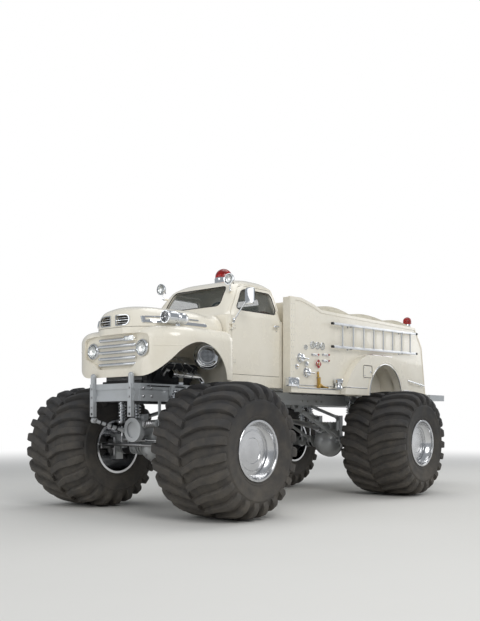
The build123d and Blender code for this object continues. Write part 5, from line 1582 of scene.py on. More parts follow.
    def controls(self) -> None:
        """Builds the steering wheel with its column, the gear lever and the pedals."""
        shape = Shape("driver_controls", [BLACK_PLASTIC, CHROME, MACHINED_STEEL, RUBBER_SEAL])
        root = at(self.dash_face - 1, self.helm[1], self.column_up)
        helm = at(*self.helm)
        axis = (helm - root).normalized()
        upward = axis.cross(LEFT).normalized()
        shape.ring(helm, 0.205, 0.0132, LEFT, upward, 56, 14)
        for out in ways(3, -upward, LEFT):
            shape.tube([helm - axis * 0.02 + out * 0.03, helm - axis * 0.006 + out * 0.12, helm + out * 0.198],
                       [0.011, 0.008, 0.009], 10, finish=1)
        shape.lathe(((-0.05, 0.0), (-0.05, 0.02), (-0.02, 0.044), (0, 0.05), (0.01, 0.046), (0.015, 0.02),
                     (0.016, 0)), helm, axis, 28)
        shape.lathe(((0, 0.026), (0.019, 0.026), (0.022, 0.018), (0.022, 0)), helm, axis, 28, 1)
        shape.tube([root, helm - axis * 0.045], 0.0188, 16, finish=2)
        shape.tube([at(-1010, 60, self.floor), at(-1000, 60, 300), at(-965, 70, 520)], [0.016, 0.01, 0.009], 12,
                   finish=1)
        shape.lathe(((-0.024, 0.0), (-0.022, 0.016), (0, 0.025), (0.02, 0.018), (0.028, 0)), at(-963, 70, 534), UP, 18)
        shape.lathe(((0, 0.06), (0.02, 0.052), (0.05, 0.03), (0.075, 0.014)), at(-1010, 60, self.floor), UP, 20, 3)
        for left in (300, 430):
            pad = at(-735, left, 150)
            shape.block(pad + Vector((-0.012, -0.032, -0.04)), pad + Vector((0.004, 0.032, 0.04)), 0.004, 3,
                        Matrix.Rotation(radians(-28), 3, "Y"))
            shape.tube([pad, at(-690, left, 330), at(-640, left, 420)], 0.007, 10, finish=2)
        pad = at(-745, 545, 120)
        shape.block(pad + Vector((-0.01, -0.028, -0.085)), pad + Vector((0.004, 0.028, 0.085)), 0.004, 3,
                    Matrix.Rotation(radians(-34), 3, "Y"))
        shape.piece(Body.CHASSIS, ["steering_wheel"], 34.0)


@dataclass
class PumpPanel:
    """One side's gauges, capped outlets, levers, valve wheel, nozzle, suction cap and step box."""

    face: float = 950.4  # the panel, left of the middle
    # dials: forward of the front axle, above the rails, radius
    dials: tuple[tuple[float, float, float], ...] = ((-2106.0, 606.0, 38.0), (-2277.0, 650.0, 57.0),
                                                     (-2406.0, 650.0, 57.0), (-2535.0, 650.0, 57.0))
    outlets: tuple[tuple[float, float], ...] = ((-1967.0, 441.0), (-2122.0, 239.0))
    levers: tuple[tuple[float, float], ...] = ((-2340.0, 509.0), (-2620.0, 526.0), (-2620.0, 435.0))
    drain: tuple[float, float, float] = (-1889.0, 312.0, 38.0)
    valve: tuple[float, float, float] = (-2406.0, 378.0, 64.0)
    ledge: float = 20.3
    nozzle_ahead: float = -2425.0

    def build(self, side: Side) -> None:
        """Builds one side.

        Args:
            side: The truck's side.
        """
        shape = Shape(f"pump_panel_{side.label}",
                      [CHROME, WHITE_DIAL, BLACK_PAINT, CLEAR_GLASS, BRASS, MACHINED_STEEL, RED_ENAMEL])
        out = side * LEFT
        for number, (ahead, up, radius) in enumerate(self.dials):
            self.dial(shape, at(ahead, side * self.face, up), out, radius * MM, 0.5 + number * 0.5)
        for ahead, up in self.outlets:
            self.outlet(shape, at(ahead, side * self.face, up), out)
        for ahead, up in self.levers:
            self.lever(shape, at(ahead, side * self.face, up), out)
        self.small_fittings(shape, side, out)
        self.valve_wheel(shape, at(self.valve[0], side * self.face, self.valve[1]), out)
        self.nozzle(shape, side)
        self.suction_cap(shape, side)
        self.step_box(shape, side)
        shape.piece(Body.CHASSIS, ["pump_fittings"], 32.0)

    def dial(self, shape: Shape, spot: Vector, out: Vector, r: float, reading: float) -> None:
        """Adds a dial: a stepped plated bezel, a white face with its marks, a needle and a glass.

        Args:
            shape: The piece it joins.
            spot: Its middle on the panel.
            out: The way out of the panel.
            r: Its radius in metres.
            reading: The needle's angle in radians.
        """
        shape.lathe(((0, r), (0.01, r), (0.016, r * 0.97), (0.021, r * 0.9), (0.018, r * 0.84),
                     (0.012, r * 0.82), (0.012, r * 0.8)), spot, out, 40)
        shape.lathe(((0.012, r * 0.81), (0.012, 0)), spot, out, 40, 1)
        face = spot + out * 0.0126
        for number in range(17):
            angle = radians(-135 + number * 270 / 16)
            way = FORE * sin(angle) + UP * cos(angle)
            long, thick = (0.16, 0.0011) if number % 4 == 0 else (0.09, 0.0007)
            shape.tube([face + way * r * (0.74 - long), face + way * r * 0.74], thick, 5, finish=2)
        way = FORE * sin(reading) + UP * cos(reading)
        pin = face + out * 0.002
        shape.tube([pin - way * r * 0.16, pin + way * r * 0.62], [0.0019, 0.0007], 6, finish=2)
        shape.lathe(((0, 0), (0, 0.005), (0.004, 0.004), (0.005, 0)), face, out, 12, 2)
        shape.lathe(((0.0175, r * 0.84), (0.0185, 0)), spot, out, 40, 3)

    def outlet(self, shape: Shape, spot: Vector, out: Vector) -> None:
        """Adds a hose outlet: a flange with bolts, a collar, and a knurled cap with its two long handles.

        Args:
            shape: The piece it joins.
            spot: Its middle on the panel.
            out: The way out of the panel.
        """
        flange = ((0, 0), (0, 0.0695), (0.009, 0.0695), (0.011, 0.066), (0.011, 0.052), (0.02, 0.05),
                  (0.03, 0.05), (0.031, 0.056), (0.052, 0.056), (0.056, 0.053), (0.058, 0.046), (0.06, 0.02),
                  (0.064, 0.016), (0.064, 0))
        shape.lathe(flange, spot, out, 44)
        for way in ways(8, start=pi / 8):
            shape.bolt(spot + out * 0.0108 + way * 0.0605, out, 0.01, 0.005, 5)
        for way in ways(20):
            shape.tube([spot + out * 0.034 + way * 0.0562, spot + out * 0.049 + way * 0.0562], 0.0024, 6)
        for sign in (-1, 1):
            grip = Vector((sign, 0, 0.06 * sign))
            shape.tube([spot + out * 0.062 + grip * 0.018, spot + out * 0.063 + grip * 0.07,
                        spot + out * 0.064 + grip * 0.118, spot + out * 0.064 + grip * 0.138],
                       [0.011, 0.0085, 0.0115, 0.008], 12)

    def lever(self, shape: Shape, spot: Vector, out: Vector) -> None:
        """Adds a valve lever: a plate, a pivot, the arm and its flared grip.

        Args:
            shape: The piece it joins.
            spot: Its middle on the panel.
            out: The way out of the panel.
        """
        shape.prism(rectangle(0.086, 0.016, 0.015, 5), plane(spot, FORE, UP, out), 0.006, 0.002)
        shape.lathe(((0.006, 0), (0.006, 0.0145), (0.02, 0.0135), (0.024, 0.009), (0.024, 0)), spot + FORE * 0.062,
                    out, 20, 5)
        shape.tube([spot + out * 0.016 + Vector((0.062, 0, 0)), spot + out * 0.022 + Vector((0, 0, 0.002)),
                    spot + out * 0.028 + Vector((-0.045, 0, 0.003))], [0.0085, 0.0065, 0.0075], 12)
        shape.tube([spot + out * 0.028 + Vector((-0.04, 0, 0.003)), spot + out * 0.03 + Vector((-0.064, 0, 0.003)),
                    spot + out * 0.03 + Vector((-0.088, 0, 0.002))], [0.008, 0.0145, 0.004], 14, finish=6)
        for end in (-0.078, 0.078):
            shape.lathe(((0.006, 0.005), (0.009, 0.004), (0.0095, 0)), spot + FORE * end, out, 10, 5)

    def small_fittings(self, shape: Shape, side: Side, out: Vector) -> None:
        """Adds the square plug and the drain cap.

        Args:
            shape: The piece they join.
            side: The truck's side.
            out: The way out of the panel.
        """
        shape.block(at(-2145, side * self.face, 335), at(-2075, side * (self.face + 30), 395), 0.007)
        middle = at(-2110, side * (self.face + 30), 365)
        shape.lathe(((-0.002, 0.019), (0.004, 0.019), (0.007, 0.014), (0.007, 0)), middle, out, 6)
        spot = at(self.drain[0], side * self.face, self.drain[1])
        r = self.drain[2] * MM
        shape.lathe(((0, 0), (0, r), (0.006, r), (0.008, r * 0.8), (0.02, r * 0.78), (0.022, r * 0.62),
                     (0.024, 0)), spot, out, 28)
        shape.lathe(((0.022, r * 0.36), (0.03, r * 0.32), (0.03, 0)), spot, out, 4, 4)

    def valve_wheel(self, shape: Shape, spot: Vector, out: Vector) -> None:
        """Adds a four-lobed valve wheel on its stem.

        Args:
            shape: The piece it joins.
            spot: Its middle on the panel.
            out: The way out of the panel.
        """
        r = self.valve[2] * MM
        shape.lathe(((0, 0), (0, r * 0.55), (0.006, r * 0.55), (0.01, r * 0.26), (0.024, r * 0.22), (0.026, 0)),
                    spot, out, 28)
        rim = [spot + out * 0.03 + way * r * (0.8 + 0.13 * cos(tau * number / 16))
               for number, way in enumerate(ways(64))]
        shape.tube(rim, 0.0068, 10, closed=True, finish=6)
        for way in ways(4):
            shape.tube([spot + out * 0.028 + way * 0.006, spot + out * 0.03 + way * r * 0.88], [0.008, 0.0062], 10,
                       finish=6)
        shape.lathe(((0.02, r * 0.24), (0.036, r * 0.22), (0.04, 0)), spot, out, 24, 4)

    def nozzle(self, shape: Shape, side: Side) -> None:
        """Adds the branched play pipe: its leaning barrel, its gate and the branch lying on the ledge.

        Args:
            shape: The piece it joins.
            side: The truck's side.
        """
        foot = at(self.nozzle_ahead, side * (self.face + 24), self.ledge)
        lean = Vector((0.11, 0, 1)).normalized()
        pipe = ((0, 0), (0, 0.03), (0.006, 0.033), (0.03, 0.033), (0.036, 0.03), (0.04, 0.024), (0.11, 0.0195),
                (0.114, 0.0235), (0.122, 0.0235), (0.126, 0.0185), (0.205, 0.013), (0.208, 0.0165), (0.226, 0.0165),
                (0.23, 0.0125), (0.244, 0.012), (0.244, 0))
        shape.lathe(pipe, foot + UP * 0.002, lean, 32, 4)
        for way in ways(4, FORE, LEFT, 0.4):
            lug = [foot + way * out + UP * up for out, up in ((0.03, 0.01), (0.0385, 0.018), (0.03, 0.027))]
            shape.tube(lug, 0.005, 8, finish=4)
        # the branch runs back along the ledge, narrowing to its tip
        branch = [foot + Vector((-back * MM, 0, up * MM)) for back, up in
                  ((0, 60), (30, 52), (60, 36), (90, 24), (150, 19), (215, 15), (235, 14))]
        shape.tube(branch, [0.02, 0.022, 0.022, 0.019, 0.014, 0.01, 0.013], 14, finish=4)
        gate = branch[1] + UP * 0.018
        shape.tube([gate, gate + Vector((-0.004, 0, 0.06)), gate + Vector((0.004, 0, 0.092))], [0.007, 0.006, 0.01], 10,
                   finish=4)
        clip = at(self.nozzle_ahead + 16, side * self.face, 175)
        shape.block(clip + Vector((-0.016, 0, -0.01)), clip + Vector((0.016, side * 0.003, 0.01)), 0.001, 5)
        for sign in (-1, 1):
            claw = ((0.01, 0.002), (0.024, 0.012), (0.022, 0.034), (0.014, 0.04))
            shape.tube([clip + Vector((sign * x, side * y, 0)) for x, y in claw], 0.0028, 6, finish=5)

    def suction_cap(self, shape: Shape, side: Side) -> None:
        """Adds the big ribbed suction cap on its neck, standing at the ledge's edge.

        Args:
            shape: The piece it joins.
            side: The truck's side.
        """
        foot = at(-2880, side * (self.face + 66), self.ledge + 0.5)
        profile = ((0, 0), (0, 0.078), (0.008, 0.078), (0.01, 0.07), (0.03, 0.056), (0.052, 0.052),
                   (0.072, 0.056), (0.084, 0.066), (0.088, 0.0765), (0.098, 0.078), (0.102, 0.0735), (0.114, 0.0735),
                   (0.118, 0.0785), (0.134, 0.0785), (0.14, 0.074), (0.15, 0.07), (0.154, 0.055), (0.154, 0))
        shape.lathe(profile, foot, UP, 44)
        for way in ways(3, FORE, LEFT, 0.3):
            lug = foot + way * 0.074
            shape.block(lug + Vector((-0.008, -0.008, 0.112)), lug + Vector((0.008, 0.008, 0.126)), 0.003, 4)
        bracket = at(-2880, side * (self.face + 4), self.ledge + 30)
        shape.block(bracket + Vector((-0.024, -0.004, -0.028)), bracket + Vector((0.024, 0.004, 0.04)), 0.003, 5)

    def step_box(self, shape: Shape, side: Side) -> None:
        """Adds the step box at the front corner, with its inset door and pull.

        Args:
            shape: The piece it joins.
            side: The truck's side.
        """
        middle, y = -1739, side * (self.face + 69)
        shape.block(at(middle - 129, side * (self.face + 10), self.ledge),
                    at(middle + 129, side * (self.face + 68), self.ledge + 129), 0.012)
        for half, up, radius in ((118, 118, 0.003), (72, 84, 0.0045)):
            line = ((-half, 10), (-half, up - 22), (26 - half, up), (half - 26, up), (half, up - 22), (half, 10))
            shape.tube([at(middle + x, y, self.ledge + z) for x, z in line], radius, 8)
        pull = ((-31, 2, 30), (-29, 12, 52), (0, 14, 60), (29, 12, 52), (31, 2, 30))
        shape.tube([at(middle + x, y + side * out, self.ledge + z) for x, out, z in pull], 0.005, 8)


@dataclass
class Ladders:
    """Aluminium ladders on their hangers along both sides."""

    left: float = 1022.0
    ends: tuple[float, float] = (-2694.0, -5420.0)
    top_levels: tuple[float, float] = (1006.0, 1070.0)
    depth: float = 350.0
    rungs: int = 8
    wall: float = 950.4
    hangers: tuple[float, float] = (0.2, 0.8)

    def along(self, share: float, drop: float = 0.0) -> tuple[float, float]:
        """Follows the ladder's rails.

        Args:
            share: How far along the ladder, from its front at 0 to its rear at 1.
            drop: How far below the upper rail.

        Returns:
            The place along the truck and the height.
        """
        return (self.ends[0] + share * (self.ends[1] - self.ends[0]),
                self.top_levels[0] + share * (self.top_levels[1] - self.top_levels[0]) - drop)

    def build(self) -> None:
        """Builds both: fluted rails with caps, swaged rungs, and the hangers."""
        for side in Side:
            shape = Shape(f"ladder_{side.label}", [EXTRUDED_ALUMINIUM, CHROME, RUBBER_SEAL, RUNNING_GEAR])
            for drop in (0.0, self.depth):
                a, b = self.along(0.0, drop), self.along(1.0, drop)
                start, end = at(a[0], side * self.left, a[1]), at(b[0], side * self.left, b[1])
                run = (end - start).normalized()
                shape.prism(rectangle(0.01, 0.02, 0.006, 3), plane(start + run * 0.01, LEFT, run.cross(LEFT), run),
                            (end - start).length - 0.02)
                for tip, way in ((start, run), (end, -run)):
                    shape.tube([tip + way * 0.001, tip + way * 0.006, tip + way * 0.045], [0.014, 0.0205, 0.0208], 16,
                               finish=2)
                for sign in (-1, 1):
                    flute = UP * sign * 0.0135 + LEFT * side * 0.01
                    shape.tube([start + run * 0.05 + flute, end - run * 0.05 + flute], 0.0022, 6)
            for rung in range(self.rungs):
                share = 0.11 + 0.114 * rung
                top, foot = self.along(share), self.along(share, self.depth)
                high, low = at(top[0], side * self.left, top[1]), at(foot[0], side * self.left, foot[1])
                shape.tube([low, high], 0.0132, 14)
                for place, way in ((high, -UP), (low, UP)):
                    shape.lathe(((0.018, 0.0215), (0.023, 0.0205), (0.03, 0.014)), place, way, 18)
                for number in range(7):
                    ring = low.lerp(high, 0.16 + 0.68 * number / 6)
                    shape.lathe(((-0.002, 0.0134), (0, 0.0142), (0.002, 0.0134)), ring, UP, 12)
            for share in self.hangers:
                for drop in (0.0, self.depth):
                    self.hanger(shape, side, share, drop)
            shape.piece(Body.CHASSIS, ["ladders"], 34.0)

    def hanger(self, shape: Shape, side: Side, share: float, drop: float) -> None:
        """Adds one hanger: a plate on the wall, its arm and the pad in its hook.

        Args:
            shape: The piece it joins.
            side: The truck's side.
            share: How far along the ladder.
            drop: How far below the upper rail.
        """
        ahead, up = self.along(share, drop)
        shape.block(at(ahead - 19, side * self.wall, up - 34), at(ahead + 19, side * (self.wall + 7), up + 30),
                    0.003, 1)
        for lift in (-26, 22):
            shape.bolt(at(ahead, side * (self.wall + 7), up + lift), side * LEFT, 0.012, 0.005, 3)
        hook = ((self.wall + 5, 12), (self.left - 30, 26), (self.left + 4, 28), (self.left + 19, 20),
                (self.left + 20.5, 2))
        shape.tube([at(ahead, side * left, up - low) for left, low in hook], 0.0065, 10, finish=1)
        shape.block(at(ahead - 15, side * (self.left - 16), up - 24.5),
                    at(ahead + 15, side * (self.left + 15), up - 20.6), 0.001, 2)


@dataclass
class BedTrim:
    """The riveted corner strips, the strip along the sill's ledge and the seam over it."""

    strip_ahead: tuple[float, float] = (-1845.0, -1725.0)
    sill_runs: tuple[tuple[float, float], ...] = ((-1880.0, -3640.0), (-4830.0, -5400.0))
    sill_up: float = 11.0
    sill_left: float = 978.0
    seam_up: float = 52.0

    def build(self) -> None:
        """Builds both sides' trim."""
        wall = Skin("bed", "rear_fenders")
        for side in Side:
            shape = Shape(f"bed_trim_{side.label}",
                          [BODY_ENAMEL, CHROME, MACHINED_STEEL, RUBBER_SEAL, EXTRUDED_ALUMINIUM])
            inward = -side * LEFT
            for ahead in (self.strip_ahead[0] + 4, self.strip_ahead[0] + 60, self.strip_ahead[1] - 5):
                shape.bead(wall, [at(ahead, side * CLEAR, 40), at(ahead, side * CLEAR, 1225)], inward, -0.0015, 0.005)
            for number in range(14):
                up = 60 + number * 88
                for ahead in (self.strip_ahead[0] + 32, self.strip_ahead[1] - 32):
                    spot = wall.hit(at(ahead, side * CLEAR, up), inward)
                    if spot:
                        shape.lathe(((-0.001, 0.006), (0.001, 0.0055), (0.0028, 0.003), (0.0032, 0)), spot,
                                    side * LEFT, 8, 2)
            for start, end in self.sill_runs:
                shape.tube([at(start, side * self.sill_left, self.sill_up),
                            at(end, side * self.sill_left, self.sill_up)], 0.011, 12, finish=4)
                seam = [at(ahead, side * CLEAR, self.seam_up) for ahead in (start, end)]
                shape.bead(wall, seam, inward, 0.0, 0.008, 10, finish=2)
            shape.piece(Body.CHASSIS)


@dataclass
class CabShell:
    """The cab's skin with its roof drawn down to the picture's flatter crown."""

    start: float = 1392.0  # the roof above this height is drawn down
    share: float = 0.68  # what is left of its rise
    cell: float = 0.09  # the longest edge left in the skin's mesh
    # the drip rail's line over a door: forward of the front axle and above the rails
    gutter: tuple[tuple[float, float], ...] = ((-668, 1010), (-975, 1400), (-1050, 1424), (-1600, 1424),
                                               (-1672, 1400), (-1712, 1100))

    def drawn(self, place: Vector) -> Vector:
        """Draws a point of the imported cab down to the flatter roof.

        Args:
            place: The point.

        Returns:
            Where it lies in the shell.
        """
        over = place.z - (RAIL_TOP + self.start * MM)
        if over <= 0:
            return place
        return Vector((place.x, place.y, place.z - over * (1 - self.share) * min(1.0, over / 0.05)))

    def build(self) -> None:
        """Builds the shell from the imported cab's faces, with the drip rails over the doors."""
        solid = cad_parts["cab"]
        work = bmesh.new()
        work.from_mesh(solid.data)
        bmesh.ops.remove_doubles(work, verts=work.verts[:], dist=1e-5)
        for _ in range(3):
            long = [e for e in work.edges if e.calc_length() > self.cell
                    and max(v.co.z for v in e.verts) > RAIL_TOP + (self.start - 60) * MM]
            if not long:
                break
            bmesh.ops.subdivide_edges(work, edges=long, cuts=1)
            bmesh.ops.triangulate(work, faces=[f for f in work.faces if len(f.verts) > 4])
        work.verts.index_update()
        shape = Shape("cab_shell", [BODY_ENAMEL, CHROME])
        shape.add([self.drawn(v.co) for v in work.verts], [[v.index for v in f.verts] for f in work.faces])
        work.free()
        skin = Skin("cab", "door_left", "door_right")
        for side in Side:
            line = spread([at(x, side * CLEAR, z) for x, z in self.gutter], 0.03)
            rail = [self.drawn(p) for p in skin.trace(line, -side * LEFT, 0.001)]
            if len(rail) > 2:
                shape.tube(rail, 0.006, 8)
        shape.piece(Body.CHASSIS, ["cab"], 28.0)


@dataclass
class BedCover:
    """A canvas cover stretched over three low bows and snapped down along the body's top edge."""

    # along the truck: where the cloth dips between the bows
    dips: tuple[float, ...] = (-2526.0, -3420.0, -4540.0, -5400.0, -5446.0)
    rises: tuple[float, ...] = (98.0, 76.0, 78.0, 2.0)
    half: float = 934.0
    edge_level: float = 1191.5
    flat_level: float = 1219.0
    cloth: float = 1.6
    hem: float = 0.955  # the hem's place, as a share of the half-width

    def ridge(self, ahead: float) -> float:
        """Gives the cloth's rise over its bows.

        Args:
            ahead: The place along the truck.

        Returns:
            The height over the flat level.
        """
        for front, back, rise in zip(self.dips, self.dips[1:], self.rises):
            if back <= ahead <= front:
                share = (front - ahead) / (front - back)
                return rise * sin(pi * share) ** 0.85
        return 0.0

    def height(self, ahead: float, share: float) -> float:
        """Gives the cloth's height, with its sags between the bows and its pull at the snaps.

        Args:
            ahead: The place along the truck.
            share: The place across it, from -1 on the right to 1 on the left.

        Returns:
            The height above the rails.
        """
        edge = abs(share)
        crown = (1 - edge**22) * (1 - 0.06 * edge**2)
        end = min(1.0, (self.dips[0] - ahead) / 60, (ahead - self.dips[-1]) / 60)
        lift = (self.flat_level - self.edge_level) + self.ridge(ahead)
        sag = 3.2 * sin(ahead * 0.021 + share * 5) * sin(share * 9 + ahead * 0.004) * (1 - edge**4)
        pull = 2.4 * cos(ahead * tau / 163) * edge**9
        return self.edge_level + max(0.0, lift * crown * sqrt(max(0.0, end)) + (sag + pull) * end * 0.8)

    def build(self) -> None:
        """Builds the cloth, then its seams, hem and snaps."""
        columns, rows = 150, 44
        long = self.dips[0] - self.dips[-1]
        top, under = [], []
        for i in range(columns + 1):
            ahead = self.dips[0] - long * i / columns
            for j in range(rows + 1):
                t = -1 + 2 * j / rows
                share = copysign(1 - (1 - abs(t)) ** 1.35, t)
                up = self.height(ahead, share)
                top.append(at(ahead, self.half * share, up))
                under.append(at(ahead, self.half * share, up - self.cloth))
        shape = Shape("bed_canvas", [CANVAS])
        shape.add(top + under, slab(columns, rows))
        cloth = shape.piece(Body.CHASSIS, ["bed_cover"], 60.0)
        trim = Shape("canvas_seams", [CANVAS, CHROME])
        for ahead in self.dips[1:-1]:
            for offset in (-16, 16):
                seam = [at(ahead + offset, self.half * share, self.height(ahead + offset, share) + 0.6)
                        for share in (-0.985 + 1.97 * k / 40 for k in range(41))]
                trim.tube(seam, 0.0022, 6)
        for side in (-1, 1):
            stations = [self.dips[0] - 12 - (long - 24) * k / 90 for k in range(91)]
            hem = [at(x, side * self.half * self.hem, self.height(x, self.hem) + 0.6) for x in stations]
            trim.tube(hem, 0.0022, 6)
            for number in range(18):
                ahead = self.dips[0] - 82 - number * 162
                spot = at(ahead, side * self.half * 0.975, self.height(ahead, 0.975))
                snap = ((-0.001, 0.0075), (0.001, 0.0075), (0.0025, 0.005), (0.003, 0))
                trim.lathe(snap, spot, (0, side * 0.25, 1), 12, 1)
        seams = trim.piece(Body.CHASSIS)


@dataclass
class RearFenders:
    """The rolled lips of the rear arches, the marker lamps, the small filler doors and the grab rails."""

    wall: float = 1070.0
    arch: tuple[float, float] = (-4230.0, -60.0)  # its middle
    lips: tuple[float, float] = (522.0, 558.0)
    door: tuple[float, float, float, float] = (-3526.0, -3790.0, 223.0, 414.0)

    def build(self) -> None:
        """Builds both sides."""
        skin = Skin("rear_fenders", "bed")
        for side in Side:
            shape = Shape(f"rear_fender_trim_{side.label}", [BODY_ENAMEL, CHROME, RED_GLASS, RUBBER_SEAL])
            arch = at(self.arch[0], side * (self.wall + 7.5), self.arch[1] + 1)
            for radius, thick, finish in ((self.lips[0], 0.008, 1), (self.lips[1], 0.006, 0)):
                shape.tube([arch + way * radius * MM for way in ways(112)[:57]], thick, 10, finish=finish)
            inward = -side * LEFT
            front, back, low, high = self.door
            for grow, thick, finish in ((0, 0.0048, 3), (16, 0.0055, 0)):
                fore, aft, foot, head = front + grow, back - grow, low - grow, high + grow
                corners = rounded(((fore, foot), (fore, head), (aft, head), (aft, foot)), 26, 4)
                line = [at(x, side * CLEAR, z) for x, z in corners]
                shape.bead(skin, line, inward, 0.0, thick, closed=True, finish=finish, step=0.03)
            for up in (low + 30, high - 30):
                spot = skin.hit(at(front - 40, side * CLEAR, up), inward)
                if spot:
                    shape.lathe(((-0.001, 0.01), (0.006, 0.009), (0.007, 0)), spot, side * LEFT, 14, 1)
            latch = skin.hit(at(back + 44, side * CLEAR, (low + high) / 2), inward)
            if latch:
                shape.lathe(((-0.001, 0.02), (0.004, 0.02), (0.006, 0.015), (0.006, 0)), latch, side * LEFT, 20, 1)
                shape.block(latch + Vector((-0.004, -0.006, -0.014)),
                            latch + Vector((0.004, 0.012 if side > 0 else 0.006, 0.014)), 0.002, 1)
            for start, end in ((-3836, -4160), (-4184, -4508)):
                top = skin.hit(at((start + end) / 2, side * 1012, 900), -UP)
                if top:
                    up = (top.z - RAIL_TOP) / MM
                    shape.block(at(end, side * 1012 - 34, up - 3), at(start, side * 1012 + 34, up + 9), 0.005, 1)
                    shape.block(at(end + 22, side * 1012 - 20, up + 7), at(start - 22, side * 1012 + 20, up + 15),
                                0.004, 2)
            shape.piece(Body.CHASSIS)
            grip = Shape(f"grab_rail_{side.label}", [CHROME, RUBBER_SEAL])
            ends = (at(-5120, side * 996, 235), at(-5720, side * 996, 165))
            run = (ends[1] - ends[0]).normalized()
            grip.tube([ends[0], ends[1]], 0.015, 18)
            for number in range(15):
                spot = ends[0] + run * (0.07 + number * 0.033)
                grip.lathe(((-0.006, 0.0152), (-0.003, 0.0166), (0.003, 0.0166), (0.006, 0.0152)), spot, run, 16)
            for share in (0.033, 0.967):
                spot = ends[0].lerp(ends[1], share)
                foot = Vector((spot.x, side * 0.9504, spot.z))
                grip.lathe(((0, 0), (0, 0.026), (0.005, 0.026), (0.01, 0.014), (0.046, 0.012)), foot, side * LEFT, 20)
                grip.lathe(((-0.02, 0.0175), (0.02, 0.0175)), spot, run, 18)
            grip.piece(Body.CHASSIS, ["grab_rails"], 32.0)


@dataclass
class FrameFittings:
    """The frame's bolted and welded joints, its air line and the step under the tail."""

    cross_tubes: tuple[float, ...] = (530.0, -950.0, -1330.0, -2830.0, -3210.0, -4860.0, -5700.0)
    rail_face: float = 432.5
    bolt_spread: tuple[float, ...] = (-70.0, 70.0)
    post_left: float = 357.0
    tail: tuple[float, float] = (-6517.0, -5870.0)
    tail_half: float = 1050.0

    def build(self) -> None:
        """Builds the bolts and weld beads, the line along the rail and the tread on the tail step."""
        shape = Shape("frame_fittings", [CHASSIS_PAINT, MACHINED_STEEL, BLACK_PLASTIC])
        for ahead in self.cross_tubes:
            for side in Side:
                for step in self.bolt_spread:
                    for up in (-60, -160):
                        shape.bolt(at(ahead + step, side * (self.rail_face - 0.5), up), side * LEFT, 0.03, 0.014, 1)
                shape.ring(at(ahead, side * 357.5, -110), 0.05, 0.0055, FORE, UP)
        for side in Side:
            for up in (-60, -170, -300):
                shape.bolt(at(769.5, side * self.post_left, up), FORE, 0.026, 0.012, 1)
            shape.tube([at(770, side * self.post_left, -380), at(764, side * self.post_left, -380)], 0.011, 12,
                       finish=2)
        line = rounded(((560, -30), (-2400, -30), (-2440, -50), (-5600, -50)), 30, 4)
        shape.tube([at(x, self.rail_face + 9, z) for x, z in line], 0.007, 8, finish=2)
        for number in range(15):
            ahead = 500 - number * 420
            up = -30 if ahead > -2400 else -50
            shape.block(at(ahead - 9, self.rail_face - 1, up - 14), at(ahead + 9, self.rail_face + 18, up + 12),
                        0.003, 1)
        shape.piece(Body.CHASSIS)
        self.tail_step()

    def tail_step(self) -> None:
        """Builds the raised tread bars and the bolts of the tail step."""
        shape = Shape("tail_tread", [EXTRUDED_ALUMINIUM, MACHINED_STEEL])
        rear, front = self.tail
        rows, columns = 5, 17
        for row in range(rows):
            for column in range(columns):
                middle = at(rear + 80 + row * (front - rear - 160) / (rows - 1),
                            -self.tail_half + 60 + column * (2 * self.tail_half - 120) / (columns - 1), 4)
                way = Vector((0.7, 0.7 if (row + column) % 2 else -0.7, 0)) * 0.034
                shape.tube([middle - way, middle - way * 0.6, middle + way * 0.6, middle + way],
                           [0.001, 0.0045, 0.0045, 0.001], 6)
        for side in Side:
            for ahead in (front - 60, rear + 60):
                shape.bolt(at(ahead, side * 400, 3.5), UP, 0.026, 0.008, 1)
        shape.piece(Body.CHASSIS)


@dataclass
class Shocks:
    """Coil springs, gaiters and end bolts on the eight shock absorbers."""

    left: float = 500.0
    reach: float = 130.0
    foot: float = -782.0
    head: float = -100.0
    spring_ends: tuple[float, float] = (-480.0, -160.0)
    coil: float = 0.055  # the spring's radius in metres
    wire: float = 0.0085  # its wire's, in metres
    turns: int = 8

    def build(self) -> None:
        """Builds one pair for each corner."""
        for axle, ahead in (("front", 0.0), ("rear", -WHEELBASE)):
            for side in Side:
                shape = Shape(f"springs_{axle}_{side.label}", [CHROME, MACHINED_STEEL, RUBBER_SEAL])
                for lead in (-1, 1):
                    self.spring(shape, ahead + lead * self.reach, side * self.left)
                shape.piece(Body.CHASSIS)

    def spring(self, shape: Shape, ahead: float, left: float) -> None:
        """Adds one spring with its seats, and the bolts through the eyes.

        Args:
            shape: The piece it joins.
            ahead: Its place forward of the front axle.
            left: Its place left of the middle.
        """
        low, high = self.spring_ends
        shape.coil(at(ahead, left, low), at(ahead, left, high), self.coil, self.wire, self.turns, 16, FORE)
        for up, way in ((low - 8, 1), (high + 8, -1)):
            seat = ((-0.01, 0.03), (-0.01, 0.066), (0, 0.066), (0.004, 0.06), (0.004, 0.039))
            shape.lathe(seat, at(ahead, left, up), way * UP, 28, 1)
        shape.lathe(((0, 0.016), (0.004, 0.026), (0.018, 0.03), (0.04, 0.03), (0.044, 0.016)),
                    at(ahead, left, -540), UP, 20, 2)
        for up in (self.foot, self.head):
            for way in (-1, 1):
                shape.bolt(at(ahead, left + way * 24, up), way * LEFT, 0.03, 0.012, 1)


